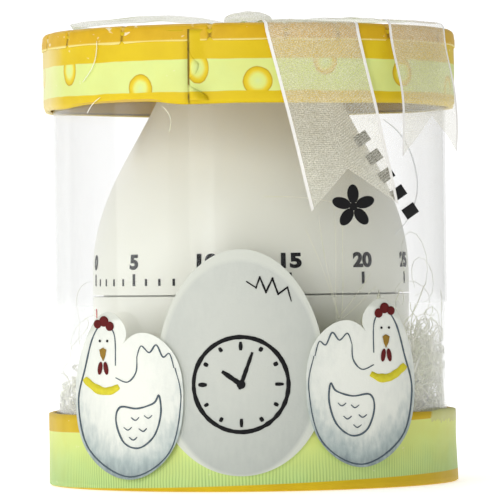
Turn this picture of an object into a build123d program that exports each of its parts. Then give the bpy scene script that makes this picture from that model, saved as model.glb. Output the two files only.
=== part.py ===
from build123d import *
import os
from math import acos, atan2, cos, degrees, hypot, pi, radians, sin, tan

# A wind-up egg timer in the round gift box that it is sold in.
# Millimetres. The origin is the centre of the box's underside, +Z is up and -Y is the front.
# Azimuths are degrees from +X, so the front is at 270.

os.makedirs("parts", exist_ok=True)

# ---- Driving dimensions: gift box ----
box_height = 85.0
lid_radius, lid_depth = 39.0, 14.0
base_radius, base_depth = 38.6, 13.6
tube_radius, tube_wall = 37.2, 0.4
paper = 0.2                      # printed paper round the card
card = 1.4                       # card discs
lid_card, base_card = 1.3, 1.0   # card rims
fold = 8.0                       # how far the paper turns over onto a disc
front = 270.0
cut_card = 0.6                   # thickness of the shaped cards on the front

# ---- Driving dimensions: egg timer ----
egg_radius = 30.0
seam_z, seam_gap = 35.6, 0.34
foot_z = 3.2
crown_z = seam_z + 44.3
shell_wall = 1.8
foot_radius = 16.5
lip_outer, lip_inner, lip_top = 28.0, 27.2, seam_z + 2.0

# ---- Driving dimensions: movement ----
lower_plate_z, upper_plate_z, plate = 12.0, 29.0, 1.0
lower_plate_radius, upper_plate_radius = 20.0, 23.0
pillar_circle, pillar_angles = 16.5, (145.0, 205.0, 290.0)
screw_circle, screw_angles = 10.5, (90.0, 210.0, 330.0)
arbor_radius, running = 2.0, 0.1
great_teeth, second_teeth, third_teeth = 50, 40, 36
second_leaves, third_leaves, escape_leaves = 10, 8, 8
great_module, train_module = 0.5, 0.4
mesh_play = 0.03
escape_teeth, escape_radius = 20, 5.0
hammer_at = (-12.0, -8.0)
wheel_bore, lever_bore, hammer_bore = 0.92, 0.52, 0.72
cam_radius, cam_z = 7.0, 26.2
arm_z, head_z = 33.0, 32.3       # undersides of the hammer's arm and head
bell_radius, bell_wall, bell_rim_z, bell_crown_z = 17.0, 0.8, 32.0, 40.4


def around(centre, distance, angle):
    """The point at a distance and azimuth from a centre."""
    return (centre[0] + distance * cos(radians(angle)), centre[1] + distance * sin(radians(angle)))


def spacing(wheel, leaves, module):
    """Distance between the arbors of a wheel and the pinion it turns."""
    return module * (wheel + leaves) / 2 + mesh_play


centre = (0.0, 0.0)
second_angle, third_angle, escape_angle = 0.0, 110.0, 120.0
second_at = around(centre, spacing(great_teeth, second_leaves, great_module), second_angle)
third_at = around(second_at, spacing(second_teeth, third_leaves, train_module), third_angle)
escape_at = around(third_at, spacing(third_teeth, escape_leaves, train_module), escape_angle)
anchor_angle, balance_angle = 170.0, 194.0
anchor_at = around(escape_at, 7.0, anchor_angle)
balance_at = around(anchor_at, 7.6, balance_angle)


# ---- Shared shapes ----
def save(piece, name):
    """Label a finished piece and write it to its own file."""
    piece.label = name
    export_step(piece, f"parts/{name}.step")


def ring(inner, outer, bottom, top):
    """A plain ring about the Z axis."""
    with BuildPart() as piece:
        with BuildSketch(Plane.XY.offset(bottom)):
            Circle(outer)
            Circle(inner, mode=Mode.SUBTRACT)
        extrude(amount=top - bottom)
    return piece.part


def disc(radius, bottom, top):
    """A plain disc about the Z axis."""
    with BuildPart() as piece:
        with BuildSketch(Plane.XY.offset(bottom)):
            Circle(radius)
        extrude(amount=top - bottom)
    return piece.part


def upper_points(inset):
    """Points up the egg's upper half, inset by a wall's thickness."""
    return [
        (egg_radius - inset, seam_z + seam_gap / 2),
        (29.7 - inset, seam_z + 8.5),
        (25.8 - 0.93 * inset, seam_z + 21.2 - 0.35 * inset),
        (18.6 - 0.85 * inset, seam_z + 34.5 - 0.5 * inset),
        (0.0, crown_z - inset),
    ]


def lower_points(inset):
    """Points down the egg's lower half, inset by a wall's thickness."""
    return [
        (egg_radius - inset, seam_z - seam_gap / 2),
        (27.4 - 0.95 * inset, seam_z - 17.0 + 0.3 * inset),
        (foot_radius - 0.7 * inset, foot_z + 0.4 + 1.1 * inset),
    ]


def gear_points(at, teeth, module, addendum, turn):
    """Outline of an involute gear of 20 degree teeth, with a tooth centred at the turn angle."""
    pitch = module * teeth / 2
    base = pitch * cos(radians(20))
    tip, root = pitch + addendum * module, pitch - 1.25 * module
    thinning = 0.03

    def half_angle(radius):
        pressure = acos(base / max(radius, base))
        spread = tan(radians(20)) - radians(20) - tan(pressure) + pressure
        return pi / 2 / teeth + spread - thinning / pitch

    radii = [root, (root + pitch) / 2, pitch, (pitch + tip) / 2, tip]
    flanks = [(r, -half_angle(r)) for r in radii] + [(r, half_angle(r)) for r in reversed(radii)]
    starts = [radians(turn) + 2 * pi * tooth / teeth for tooth in range(teeth)]
    return [around(at, r, degrees(a + side)) for a in starts for r, side in flanks]


def pinion_turn(direction, wheel, leaves):
    """The angle that puts a pinion's gap on the tooth of a wheel that has a tooth at zero."""
    return direction + 180 + direction * wheel / leaves + 180 / leaves


def wheel(at, teeth, module, addendum, bottom, bore):
    """A toothed wheel with round windows, 0.8 mm thick."""
    thickness, pitch = 0.8, module * teeth / 2
    with BuildPart() as piece:
        with BuildSketch(Plane.XY.offset(bottom)):
            with BuildLine():
                Polyline(*gear_points(at, teeth, module, addendum, 0.0), close=True)
            make_face()
            with Locations(at):
                Circle(bore, mode=Mode.SUBTRACT)
                with PolarLocations(pitch * 0.57, 5):
                    Circle(pitch * 0.2, mode=Mode.SUBTRACT)
        extrude(amount=thickness)
    return piece.part


def pinion_arbor(at, leaves, module, turn, bottom, top, seat_z):
    """A steel arbor with its pinion cut on it, a seat for its wheel and a pivot at each end."""
    pivot, shaft, seat = 0.4, 0.6, 0.9
    levels = [
        (pivot, lower_plate_z, lower_plate_z + plate + running),
        (shaft, lower_plate_z + plate + running, upper_plate_z - running),
        (pivot, upper_plate_z - running, upper_plate_z + plate),
        (seat, seat_z - 0.5, seat_z + 1.3),
    ]
    with BuildPart() as piece:
        for radius, low, high in levels:
            with BuildSketch(Plane.XY.offset(low)):
                with Locations(at):
                    Circle(radius)
            extrude(amount=high - low)
        with BuildSketch(Plane.XY.offset(bottom)):
            with BuildLine():
                Polyline(*gear_points(at, leaves, module, 0.8, turn), close=True)
            make_face()
        extrude(amount=top - bottom)
    return piece.part


def plain_arbor(at, top, shaft):
    """A plain steel arbor from the lower plate to a given height, with a thin lower pivot."""
    shoulder = lower_plate_z + plate + running
    with BuildPart() as piece:
        with BuildSketch(Plane.XY.offset(lower_plate_z)):
            with Locations(at):
                Circle(0.4)
        extrude(amount=plate + running)
        with BuildSketch(Plane.XY.offset(shoulder)):
            with Locations(at):
                Circle(shaft)
        extrude(amount=top - shoulder)
    return piece.part


def spiral(at, start, end, turns, last_angle, lift, strip, bottom, top):
    """A flat spiral spring whose outer end runs out by a lift over its last quarter turn."""
    steps = int(turns * 16)
    sides = []
    for side in (-strip / 2, strip / 2):
        points = []
        for step in range(steps + 1):
            left = turns * 360 * (1 - step / steps)
            run_out = lift * max(0.0, 1 - left / 90) ** 2
            radius = start + (end - start) * step / steps + run_out + side
            points.append(around(at, radius, last_angle - left))
        sides.append(points)
    with BuildPart() as piece:
        with BuildSketch(Plane.XY.offset(bottom)):
            with BuildLine():
                inside = Spline(*sides[0])
                outside = Spline(*sides[1])
                Line(inside @ 0, outside @ 0)
                Line(inside @ 1, outside @ 1)
            make_face()
        extrude(amount=top - bottom)
    return piece.part


# ---- Gift box: base ----
base_floor_top = paper + card
base_inner = base_radius - paper - base_card

save(disc(base_inner, paper, base_floor_top), "base_floor")
save(ring(base_inner, base_radius - paper, paper, base_depth - paper), "base_rim")
save(disc(base_radius - fold, 0, paper), "base_underside_paper")

with BuildPart() as base_wrap:
    with BuildSketch(Plane.XZ):
        with BuildLine():
            Polyline(
                (base_radius - fold, 0),
                (base_radius, 0),
                (base_radius, base_depth),
                (base_inner, base_depth),
                (base_inner, base_depth - paper),
                (base_radius - paper, base_depth - paper),
                (base_radius - paper, paper),
                (base_radius - fold, paper),
                close=True,
            )
        make_face()
    revolve(axis=Axis.Z)
save(base_wrap.part, "base_wrap")

save(disc(tube_radius - tube_wall - 0.2, base_floor_top, foot_z), "insert_pad")
tube_top = box_height - paper - card
save(ring(tube_radius - tube_wall, tube_radius, base_floor_top, tube_top), "acetate_tube")

# ---- Gift box: shredded nest round the foot of the egg ----
nest_radius, nest_top, nest_clearance = 36.4, 24.0, 0.8

with BuildPart() as shred_nest:
    with BuildSketch(Plane.XZ):
        with BuildLine():
            hollow = Spline(*lower_points(-nest_clearance)[1:], (foot_radius + 0.5, foot_z))
            Line(hollow @ 1, (nest_radius, foot_z))
            Line((nest_radius, foot_z), (nest_radius, nest_top))
            Spline((nest_radius, nest_top), (32.4, nest_top + 1.6), hollow @ 0)
        make_face()
    revolve(axis=Axis.Z)
save(shred_nest.part, "shred_nest")

# ---- Gift box: shaped cards on the front ----
egg_card_width, egg_card_bottom, egg_card_top, egg_card_waist = 31.0, 2.9, 44.0, 20.0
egg_card_x = -2.0
left_hen = (-22.6, 2.2)          # middle and lowest point of each hen
right_hen = (19.9, 4.1)
pad_start, pad_sweep, pad_bottom, pad_height = 25.0, 15.0, 6.5, 5.5


def curved(outline, inner, name):
    """Bend a card of a given front outline round the box at an inner radius."""
    with BuildPart() as piece:
        with BuildSketch(Plane.XY):
            Circle(inner + cut_card)
            Circle(inner, mode=Mode.SUBTRACT)
        extrude(amount=box_height)
        with BuildSketch(Plane.XZ):
            add(outline)
        extrude(amount=lid_radius + 5, mode=Mode.INTERSECT)
    save(piece.part, name)


with BuildSketch() as egg_outline:
    with BuildLine():
        waist = (egg_card_x, egg_card_waist)
        half = egg_card_width / 2
        above, below = egg_card_top - egg_card_waist, egg_card_waist - egg_card_bottom
        EllipticalCenterArc(waist, half, above, start_angle=0, arc_size=180)
        EllipticalCenterArc(waist, half, below, start_angle=180, arc_size=180)
    make_face()
curved(egg_outline.sketch, base_radius, "egg_card")


def hen_sketch(middle, bottom, facing):
    """A sitting hen's outline, whose head is on the right if facing is 1 and on the left if -1."""
    saddle = (1.0, 24.6)
    back = [(-3.0, 26.8), (-8.0, 23.6), (-10.1, 15.0), (-7.6, 4.8), (0.0, 0.0)]
    breast = [(7.8, 4.8), (10.0, 14.0), (8.2, 25.0), (3.4, 30.6), (0.6, 28.0)]
    outline = [(middle + facing * along, bottom + up) for along, up in [saddle, *back, *breast, saddle]]
    with BuildSketch() as hen:
        with BuildLine():
            Spline(*outline)
        make_face()
    return hen.sketch


hen_radius = base_radius + cut_card
curved(hen_sketch(*left_hen, -1), hen_radius, "left_hen_card")
curved(hen_sketch(*right_hen, 1), hen_radius, "right_hen_card")

with BuildPart() as card_pads:
    with BuildSketch(Plane.XY.offset(pad_bottom)):
        with BuildLine():
            for radius in (base_radius, hen_radius):
                CenterArc((0, 0), radius, front + pad_start, pad_sweep)
            for angle in (front + pad_start, front + pad_start + pad_sweep):
                Line(around(centre, base_radius, angle), around(centre, hen_radius, angle))
        make_face()
    extrude(amount=pad_height)
    mirror(about=Plane.YZ)
save(card_pads.part, "card_pads")

# ---- Lid ----
lid_bottom = box_height - lid_depth
lid_inner = lid_radius - paper - lid_card

save(disc(lid_inner, tube_top, tube_top + card), "lid_disc")
save(ring(lid_inner, lid_radius - paper, lid_bottom + paper, box_height - paper), "lid_rim")
save(disc(lid_radius - fold, box_height - paper, box_height), "lid_top_paper")

with BuildPart() as lid_wrap:
    with BuildSketch(Plane.XZ):
        with BuildLine():
            Polyline(
                (lid_radius - fold, box_height),
                (lid_radius, box_height),
                (lid_radius, lid_bottom),
                (lid_inner, lid_bottom),
                (lid_inner, lid_bottom + paper),
                (lid_radius - paper, lid_bottom + paper),
                (lid_radius - paper, box_height - paper),
                (lid_radius - fold, box_height - paper),
                close=True,
            )
        make_face()
    revolve(axis=Axis.Z)
save(lid_wrap.part, "lid_wrap")

# ---- Ribbon tied on the lid ----
ribbon, ribbon_width, ribbon_stand_off = 0.3, 18.0, 0.3
knot_length, knot_width, knot_height = 10.0, 8.0, 4.6
tail_start, notch_depth = 8.0, 6.5
front_tail = (front + 16, 9.0, 52.9, "ribbon_tail_front")
side_tail = (front + 53, 1.6, 62.8, "ribbon_tail_side")


def upright_plane(angle):
    """The plane through the Z axis whose X runs outwards at an azimuth and whose Y runs up."""
    outwards = around(centre, 1, angle)
    return Plane(origin=(0, 0, 0), x_dir=(*outwards, 0), z_dir=(outwards[1], -outwards[0], 0))


def facing_plane(angle):
    """The plane through the Z axis that faces an azimuth, with its Y running up."""
    outwards = around(centre, 1, angle)
    return Plane(origin=(0, 0, 0), x_dir=(-outwards[1], outwards[0], 0), z_dir=(*outwards, 0))


def ribbon_tail(angle, drift, end_z, name, rise):
    """A tail that runs out over the lid and hangs round its side, drifting to a notched end."""
    outside = lid_radius + ribbon_stand_off + rise + ribbon
    over, half = box_height + rise, ribbon_width / 2
    with BuildPart() as tail_strip:
        with BuildSketch(Plane.XY):
            Circle(outside)
            Circle(outside - ribbon, mode=Mode.SUBTRACT)
        extrude(amount=over + ribbon)
        with BuildSketch(facing_plane(angle)):
            with BuildLine():
                Polyline(
                    (-half, over + ribbon),
                    (half, over + ribbon),
                    (half + drift, end_z),
                    (drift, end_z + notch_depth),
                    (-half + drift, end_z - 1),
                    close=True,
                )
            make_face()
        extrude(amount=outside + 5, mode=Mode.INTERSECT)
        with BuildSketch(Plane.XY.offset(over)):
            with Locations(Location((*around(centre, tail_start + 20, angle), 0), (0, 0, angle))):
                Rectangle(40, ribbon_width)
            Circle(outside, mode=Mode.INTERSECT)
        extrude(amount=ribbon)
    save(tail_strip.part, name)


with BuildPart() as ribbon_knot:
    with BuildSketch(Plane.XY.offset(box_height)):
        RectangleRounded(knot_length - 1, knot_width, 2)
    extrude(amount=knot_height)
    fillet(ribbon_knot.faces().sort_by(Axis.Z)[-1].edges(), 1.2)
save(ribbon_knot.part, "ribbon_knot")

with BuildPart() as ribbon_loop:
    with BuildSketch(Plane.XZ):
        loop_length, loop_height = 27.0, 3.0
        with Locations((-knot_length / 2 - loop_length / 2, box_height + loop_height / 2)):
            SlotOverall(loop_length, loop_height)
            SlotOverall(loop_length - 2 * ribbon, loop_height - 2 * ribbon, mode=Mode.SUBTRACT)
    extrude(amount=ribbon_width / 2, both=True)
save(ribbon_loop.part, "ribbon_loop")

ribbon_tail(*front_tail, rise=0.0)
ribbon_tail(*side_tail, rise=ribbon)

# ---- Timer: lower shell ----
floor_bottom, floor_top = foot_z + 0.4, foot_z + 2.4
foot_inner, foot_outer, foot_depth = 13.4, 15.4, 0.6
boss_radius, screw_radius, head_radius, head_top = 3.0, 1.0, 1.9, 5.0
bottom_of_skirt = seam_z - seam_gap / 2

with BuildPart() as lower_shell:
    with BuildSketch(Plane.XZ):
        with BuildLine():
            outer = Spline(*lower_points(0), tangents=((0, -1), (-1, -0.9)))
            inner = Spline(*lower_points(shell_wall), tangents=((0, -1), (-1, -0.9)))
            Polyline(outer @ 1, (0, floor_bottom), (0, floor_top), inner @ 1)
            Line(outer @ 0, inner @ 0)
        make_face()
        with BuildLine():
            Polyline(
                (lip_inner, lip_top),
                (lip_outer, lip_top),
                (lip_outer, bottom_of_skirt),
                (lip_outer + 0.9, bottom_of_skirt),
                (lip_outer + 0.9, seam_z - 3.2),
                (lip_inner, seam_z - 2.2),
                close=True,
            )
        make_face()
    revolve(axis=Axis.Z)
    with BuildSketch(Plane.XY.offset(floor_top - 0.4)):
        with Locations(*[around(centre, screw_circle, angle) for angle in screw_angles]):
            Circle(boss_radius)
    extrude(amount=lower_plate_z - floor_top + 0.4)
    with BuildSketch(Plane.XY.offset(floor_bottom)):
        with Locations(*[around(centre, screw_circle, angle) for angle in screw_angles]):
            Circle(head_radius + 0.3)
    extrude(amount=head_top - floor_bottom, mode=Mode.SUBTRACT)
    with BuildSketch(Plane.XY.offset(floor_bottom)):
        with Locations(*[around(centre, screw_circle, angle) for angle in screw_angles]):
            Circle(screw_radius + running)
    extrude(amount=lower_plate_z - floor_bottom, mode=Mode.SUBTRACT)
    with BuildSketch(Plane.XY.offset(floor_bottom)):
        Circle(foot_outer)
        Circle(foot_inner, mode=Mode.SUBTRACT)
    extrude(amount=foot_depth, mode=Mode.SUBTRACT)
save(lower_shell.part, "lower_shell")

save(ring(foot_inner, foot_outer, foot_z, floor_bottom + foot_depth), "foot_ring")

with BuildPart() as base_screws:
    for angle in screw_angles:
        with BuildSketch(Plane.XY.offset(head_top - 1.1)):
            with Locations(around(centre, screw_circle, angle)):
                Circle(head_radius)
                Rectangle(2.8, 0.6, mode=Mode.SUBTRACT)
        extrude(amount=0.6)
        with BuildSketch(Plane.XY.offset(head_top - 0.5)):
            with Locations(around(centre, screw_circle, angle)):
                Circle(head_radius)
        extrude(amount=0.5)
        with BuildSketch(Plane.XY.offset(head_top)):
            with Locations(around(centre, screw_circle, angle)):
                Circle(screw_radius)
        extrude(amount=lower_plate_z + plate - head_top)
save(base_screws.part, "base_screws")

# ---- Timer: upper shell, which is the dial ----
boss_outer, boss_bottom, flat_depth, socket_top = 4.0, 43.2, 0.6, 53.3

with BuildPart() as dial_shell:
    with BuildSketch(Plane.XZ):
        with BuildLine():
            outer = Spline(*upper_points(0), tangents=((0, 1), (-1, 0)))
            inner = Spline(*upper_points(shell_wall), tangents=((0, 1), (-1, 0)))
            Line(outer @ 1, inner @ 1)
            Line(outer @ 0, inner @ 0)
        make_face()
        with Locations((boss_outer / 2, (boss_bottom + crown_z - 0.9) / 2)):
            Rectangle(boss_outer, crown_z - 0.9 - boss_bottom)
    revolve(axis=Axis.Z)
    rib_bottom, rib_half = seam_z + 22.4, 0.6
    for angle in (30, 150, 270):
        with BuildSketch(upright_plane(angle)):
            with BuildLine():
                Polyline(
                    (boss_outer - 0.5, rib_bottom),
                    (24.4, rib_bottom),
                    (18.4, rib_bottom + 10.5),
                    (boss_outer - 0.5, rib_bottom + 18),
                    close=True,
                )
            make_face()
        extrude(amount=rib_half, both=True)
    with BuildSketch(Plane.XY.offset(boss_bottom)):
        Circle(arbor_radius + 0.03)
        with Locations((0, 2 * arbor_radius - flat_depth + 0.03)):
            Rectangle(2 * arbor_radius + 1, 2 * arbor_radius, mode=Mode.SUBTRACT)
    extrude(amount=socket_top - boss_bottom, mode=Mode.SUBTRACT)
save(dial_shell.part, "dial_shell")

# ---- Movement: plates, pillars and nuts ----
pillar_radius, stud_radius, pivot_hole = 1.5, 1.0, 0.45
arbor_places = (second_at, third_at, escape_at, anchor_at, balance_at)
pillar_places = [around(centre, pillar_circle, angle) for angle in pillar_angles]
screw_places = [around(centre, screw_circle, angle) for angle in screw_angles]

with BuildPart() as lower_plate:
    with BuildSketch(Plane.XY.offset(lower_plate_z)):
        Circle(lower_plate_radius)
        Circle(1.35, mode=Mode.SUBTRACT)
        with Locations(*pillar_places, *screw_places):
            Circle(stud_radius + 0.05, mode=Mode.SUBTRACT)
        with Locations(*arbor_places, hammer_at):
            Circle(pivot_hole, mode=Mode.SUBTRACT)
    extrude(amount=plate)
save(lower_plate.part, "lower_plate")

with BuildPart() as upper_plate:
    with BuildSketch(Plane.XY.offset(upper_plate_z)):
        Circle(upper_plate_radius)
        Circle(arbor_radius + running, mode=Mode.SUBTRACT)
        with Locations(*pillar_places):
            Circle(stud_radius + 0.05, mode=Mode.SUBTRACT)
        with Locations(*arbor_places):
            Circle(pivot_hole, mode=Mode.SUBTRACT)
        with Locations(hammer_at):
            Circle(0.75, mode=Mode.SUBTRACT)
    extrude(amount=plate)
save(upper_plate.part, "upper_plate")

with BuildPart() as plate_pillars:
    lengths = [
        (stud_radius, lower_plate_z, lower_plate_z + plate),
        (pillar_radius, lower_plate_z + plate, upper_plate_z),
        (stud_radius, upper_plate_z, upper_plate_z + plate + 1.4),
    ]
    for radius, low, high in lengths:
        with BuildSketch(Plane.XY.offset(low)):
            with Locations(*pillar_places):
                Circle(radius)
        extrude(amount=high - low)
save(plate_pillars.part, "plate_pillars")

with BuildPart() as plate_nuts:
    with BuildSketch(Plane.XY.offset(upper_plate_z + plate)):
        with Locations(*pillar_places):
            RegularPolygon(2.0, 6, major_radius=False)
            Circle(stud_radius + 0.05, mode=Mode.SUBTRACT)
    extrude(amount=1.2)
save(plate_nuts.part, "plate_nuts")

# ---- Movement: mainspring and main arbor ----
spring_reach = pillar_circle - pillar_radius - 0.15
coil_inner, coil_outer, spring_bottom, spring_top = 2.4, 11.0, 14.0, 19.0
run_out = spring_reach - coil_outer
main_spring = spiral(
    centre, coil_inner, coil_outer, 5, pillar_angles[1], run_out, 0.25, spring_bottom, spring_top
)
save(main_spring, "mainspring")

arbor_levels = [
    (1.3, lower_plate_z - 1.0, lower_plate_z + plate + running),
    (arbor_radius, lower_plate_z + plate + running, boss_bottom),
]
with BuildPart() as main_arbor:
    for radius, low, high in arbor_levels:
        with BuildSketch(Plane.XY.offset(low)):
            Circle(radius)
        extrude(amount=high - low)
    with BuildSketch(Plane.XY.offset(boss_bottom)):
        Circle(arbor_radius)
        with Locations((0, 2 * arbor_radius - flat_depth)):
            Rectangle(2 * arbor_radius + 1, 2 * arbor_radius, mode=Mode.SUBTRACT)
    extrude(amount=socket_top - 0.3 - boss_bottom)
save(main_arbor.part, "main_arbor")

great_z = 20.0
bore = arbor_radius + 0.02
save(wheel(centre, great_teeth, great_module, 0.8, great_z, bore), "great_wheel")

with BuildPart() as clutch_spring:
    with BuildSketch(Plane.XY.offset(great_z + 0.8)):
        Circle(3.0)
        with PolarLocations(3.2, 3):
            RectangleRounded(4.4, 1.8, 0.8)
        Circle(bore, mode=Mode.SUBTRACT)
    extrude(amount=0.4)
save(clutch_spring.part, "clutch_spring")
save(ring(bore, 3.2, great_z + 1.2, great_z + 2.4), "arbor_collar")

# ---- Movement: the train ----
second_z, third_z, escape_z = 22.6, 24.6, 22.0
save(wheel(second_at, second_teeth, train_module, 0.8, second_z, wheel_bore), "second_wheel")
save(wheel(third_at, third_teeth, train_module, 0.8, third_z, wheel_bore), "third_wheel")

second_turn = pinion_turn(second_angle, great_teeth, second_leaves)
second_arbor = pinion_arbor(second_at, second_leaves, great_module, second_turn, 19.4, 21.6, second_z)
save(second_arbor, "second_pinion_arbor")
third_turn = pinion_turn(third_angle, second_teeth, third_leaves)
third_arbor = pinion_arbor(third_at, third_leaves, train_module, third_turn, 22.0, 23.8, third_z)
save(third_arbor, "third_pinion_arbor")
escape_turn = pinion_turn(escape_angle, third_teeth, escape_leaves)
escape_arbor = pinion_arbor(
    escape_at, escape_leaves, train_module, escape_turn, 24.0, 26.0, escape_z
)
save(escape_arbor, "escape_pinion_arbor")

with BuildPart() as escape_wheel:
    pitch_angle = 360 / escape_teeth
    saw = []
    for tooth in range(escape_teeth):
        saw.append(around(escape_at, escape_radius, tooth * pitch_angle))
        saw.append(around(escape_at, escape_radius - 1.1, tooth * pitch_angle + 3))
        saw.append(around(escape_at, escape_radius - 1.3, tooth * pitch_angle + 10))
    with BuildSketch(Plane.XY.offset(escape_z)):
        with BuildLine():
            Polyline(*saw, close=True)
        make_face()
        with Locations(escape_at):
            Circle(wheel_bore, mode=Mode.SUBTRACT)
    extrude(amount=0.8)
save(escape_wheel.part, "escape_wheel")

# ---- Movement: anchor and balance ----
fork_length, slot_width, pin_circle = 6.9, 0.9, 1.1


def strip(start, end, width):
    """A straight strip with round ends, drawn in the current sketch."""
    with BuildSketch(mode=Mode.PRIVATE) as bar:
        with Locations(start, end):
            Circle(width / 2)
        make_hull()
    add(bar.sketch)


def seen_from_escape(along, across):
    """A point given along and across the line from the escape arbor to the anchor arbor."""
    return around(around(escape_at, along, anchor_angle), across, anchor_angle + 90)


with BuildPart() as anchor:
    with BuildSketch(Plane.XY.offset(escape_z - 0.1)):
        with Locations(anchor_at):
            Circle(1.3)
        for side in (-1, 1):
            elbow = seen_from_escape(6.4, side * 4.6)
            strip(anchor_at, elbow, 0.9)
            strip(elbow, seen_from_escape(4.4, side * 4.6), 0.9)
        fork_end = around(anchor_at, fork_length - 0.9, balance_angle)
        strip(anchor_at, fork_end, 1.1)
        with Locations(Location((*fork_end, 0), (0, 0, balance_angle))):
            Rectangle(1.8, 2.3)
            with Locations((0.4, 0)):
                Rectangle(1.4, slot_width, mode=Mode.SUBTRACT)
        with Locations(anchor_at):
            Circle(0.62, mode=Mode.SUBTRACT)
    extrude(amount=1.0)
save(anchor.part, "anchor")
save(plain_arbor(anchor_at, upper_plate_z - running, 0.6), "anchor_arbor")
save(plain_arbor(balance_at, upper_plate_z - running, 0.5), "balance_staff")

balance_z, balance_radius = 24.4, 5.5
with BuildPart() as balance_wheel:
    with BuildSketch(Plane.XY.offset(balance_z)):
        with Locations(balance_at):
            Circle(balance_radius)
            Circle(balance_radius - 1.0, mode=Mode.SUBTRACT)
            Rectangle(2 * balance_radius - 1, 1.2)
            Circle(1.4)
            Circle(lever_bore, mode=Mode.SUBTRACT)
    extrude(amount=0.8)
    with BuildSketch(Plane.XY.offset(balance_z - 1.0)):
        with Locations(balance_at):
            Circle(1.7)
            Circle(lever_bore, mode=Mode.SUBTRACT)
    extrude(amount=1.0)
    with BuildSketch(Plane.XY.offset(escape_z)):
        with Locations(around(balance_at, -pin_circle, balance_angle)):
            Circle(0.3)
    extrude(amount=balance_z - 1.0 - escape_z)
save(balance_wheel.part, "balance_wheel")
balance_spring = spiral(balance_at, 0.9, 2.8, 4, 150, 1.0, 0.12, 26.0, 26.6)
save(balance_spring, "balance_spring")

# ---- Movement: trip cam and hammer ----
hammer_reach = hypot(*hammer_at)
nose_circle = cam_radius + running
hammer_azimuth = degrees(atan2(hammer_at[1], hammer_at[0])) + 360
nose_angle = hammer_azimuth + degrees(acos(nose_circle / hammer_reach))
notch_half_angle = 14.0

with BuildPart() as trip_cam:
    with BuildSketch(Plane.XY.offset(cam_z)):
        Circle(cam_radius)
        with BuildLine():
            Polyline(
                around(centre, 5.3, nose_angle - notch_half_angle),
                around(centre, 7.6, nose_angle - notch_half_angle),
                around(centre, 7.6, nose_angle + notch_half_angle),
                around(centre, 5.3, nose_angle + notch_half_angle),
                close=True,
            )
        make_face(mode=Mode.SUBTRACT)
        Circle(bore, mode=Mode.SUBTRACT)
    extrude(amount=1.0)
save(trip_cam.part, "trip_cam")

save(plain_arbor(hammer_at, 34.2, 0.7), "hammer_arbor")
with BuildPart() as cam_follower:
    with BuildSketch(Plane.XY.offset(cam_z)):
        with Locations(hammer_at):
            Circle(1.5)
        nose_root = around(centre, nose_circle + 2.3, nose_angle)
        strip(hammer_at, nose_root, 1.5)
        strip(nose_root, around(centre, nose_circle + 0.55, nose_angle), 1.1)
        with Locations(hammer_at):
            Circle(hammer_bore, mode=Mode.SUBTRACT)
    extrude(amount=1.0)
save(cam_follower.part, "cam_follower")

head_at = around(centre, 13.3, 150)
with BuildPart() as hammer_arm:
    with BuildSketch(Plane.XY.offset(arm_z)):
        with Locations(hammer_at):
            Circle(1.5)
        strip(hammer_at, head_at, 1.3)
        with Locations(hammer_at):
            Circle(hammer_bore, mode=Mode.SUBTRACT)
    extrude(amount=0.9)
    with BuildSketch(Plane.XY.offset(head_z)):
        with Locations(head_at):
            Circle(1.6)
    extrude(amount=2.1)
save(hammer_arm.part, "hammer_arm")

with BuildPart() as hammer_spring:
    leaf_root = around(pillar_places[2], pillar_radius + 0.1, 130)
    leaf_tip = (-4.0, -10.1)
    with BuildSketch(Plane.XY.offset(cam_z)):
        strip(leaf_root, leaf_tip, 0.25)
    extrude(amount=1.4)
save(hammer_spring.part, "hammer_spring")

# ---- Movement: bell ----
bush_radius, neck_radius = 4.0, 3.0
neck_bottom, neck_top = bell_crown_z - bell_wall, 42.6

with BuildPart() as bell:
    with BuildSketch(Plane.XZ):
        with BuildLine():
            bend_z = bell_rim_z + 3.0
            outer = Spline((9, bell_crown_z), (bell_radius, bend_z), tangents=((1, 0), (0, -1)))
            inner = Spline(
                (9, neck_bottom),
                (bell_radius - bell_wall, bend_z),
                tangents=((1, 0), (0, -1)),
            )
            hole = neck_radius + 0.05
            Polyline(outer @ 0, (hole, bell_crown_z), (hole, neck_bottom), inner @ 0)
            rim_inner = bell_radius - bell_wall
            Polyline(outer @ 1, (bell_radius, bell_rim_z), (rim_inner, bell_rim_z), inner @ 1)
        make_face()
    revolve(axis=Axis.Z)
save(bell.part, "bell")

with BuildPart() as bell_bush:
    bush_levels = [
        (bush_radius, upper_plate_z + plate, neck_bottom),
        (neck_radius, neck_bottom, neck_top),
    ]
    for radius, low, high in bush_levels:
        with BuildSketch(Plane.XY.offset(low)):
            Circle(radius)
            Circle(arbor_radius + running, mode=Mode.SUBTRACT)
        extrude(amount=high - low)
save(bell_bush.part, "bell_bush")

with BuildPart() as bell_nut:
    with BuildSketch(Plane.XY.offset(bell_crown_z)):
        RegularPolygon(4.2, 6, major_radius=False)
        Circle(neck_radius + 0.05, mode=Mode.SUBTRACT)
    extrude(amount=1.8)
save(bell_nut.part, "bell_nut")
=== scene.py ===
import random
from math import atan2, cos, degrees, hypot, pi, radians, sin, sqrt

import bmesh
import bpy
from mathutils import Matrix, Vector, noise


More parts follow.
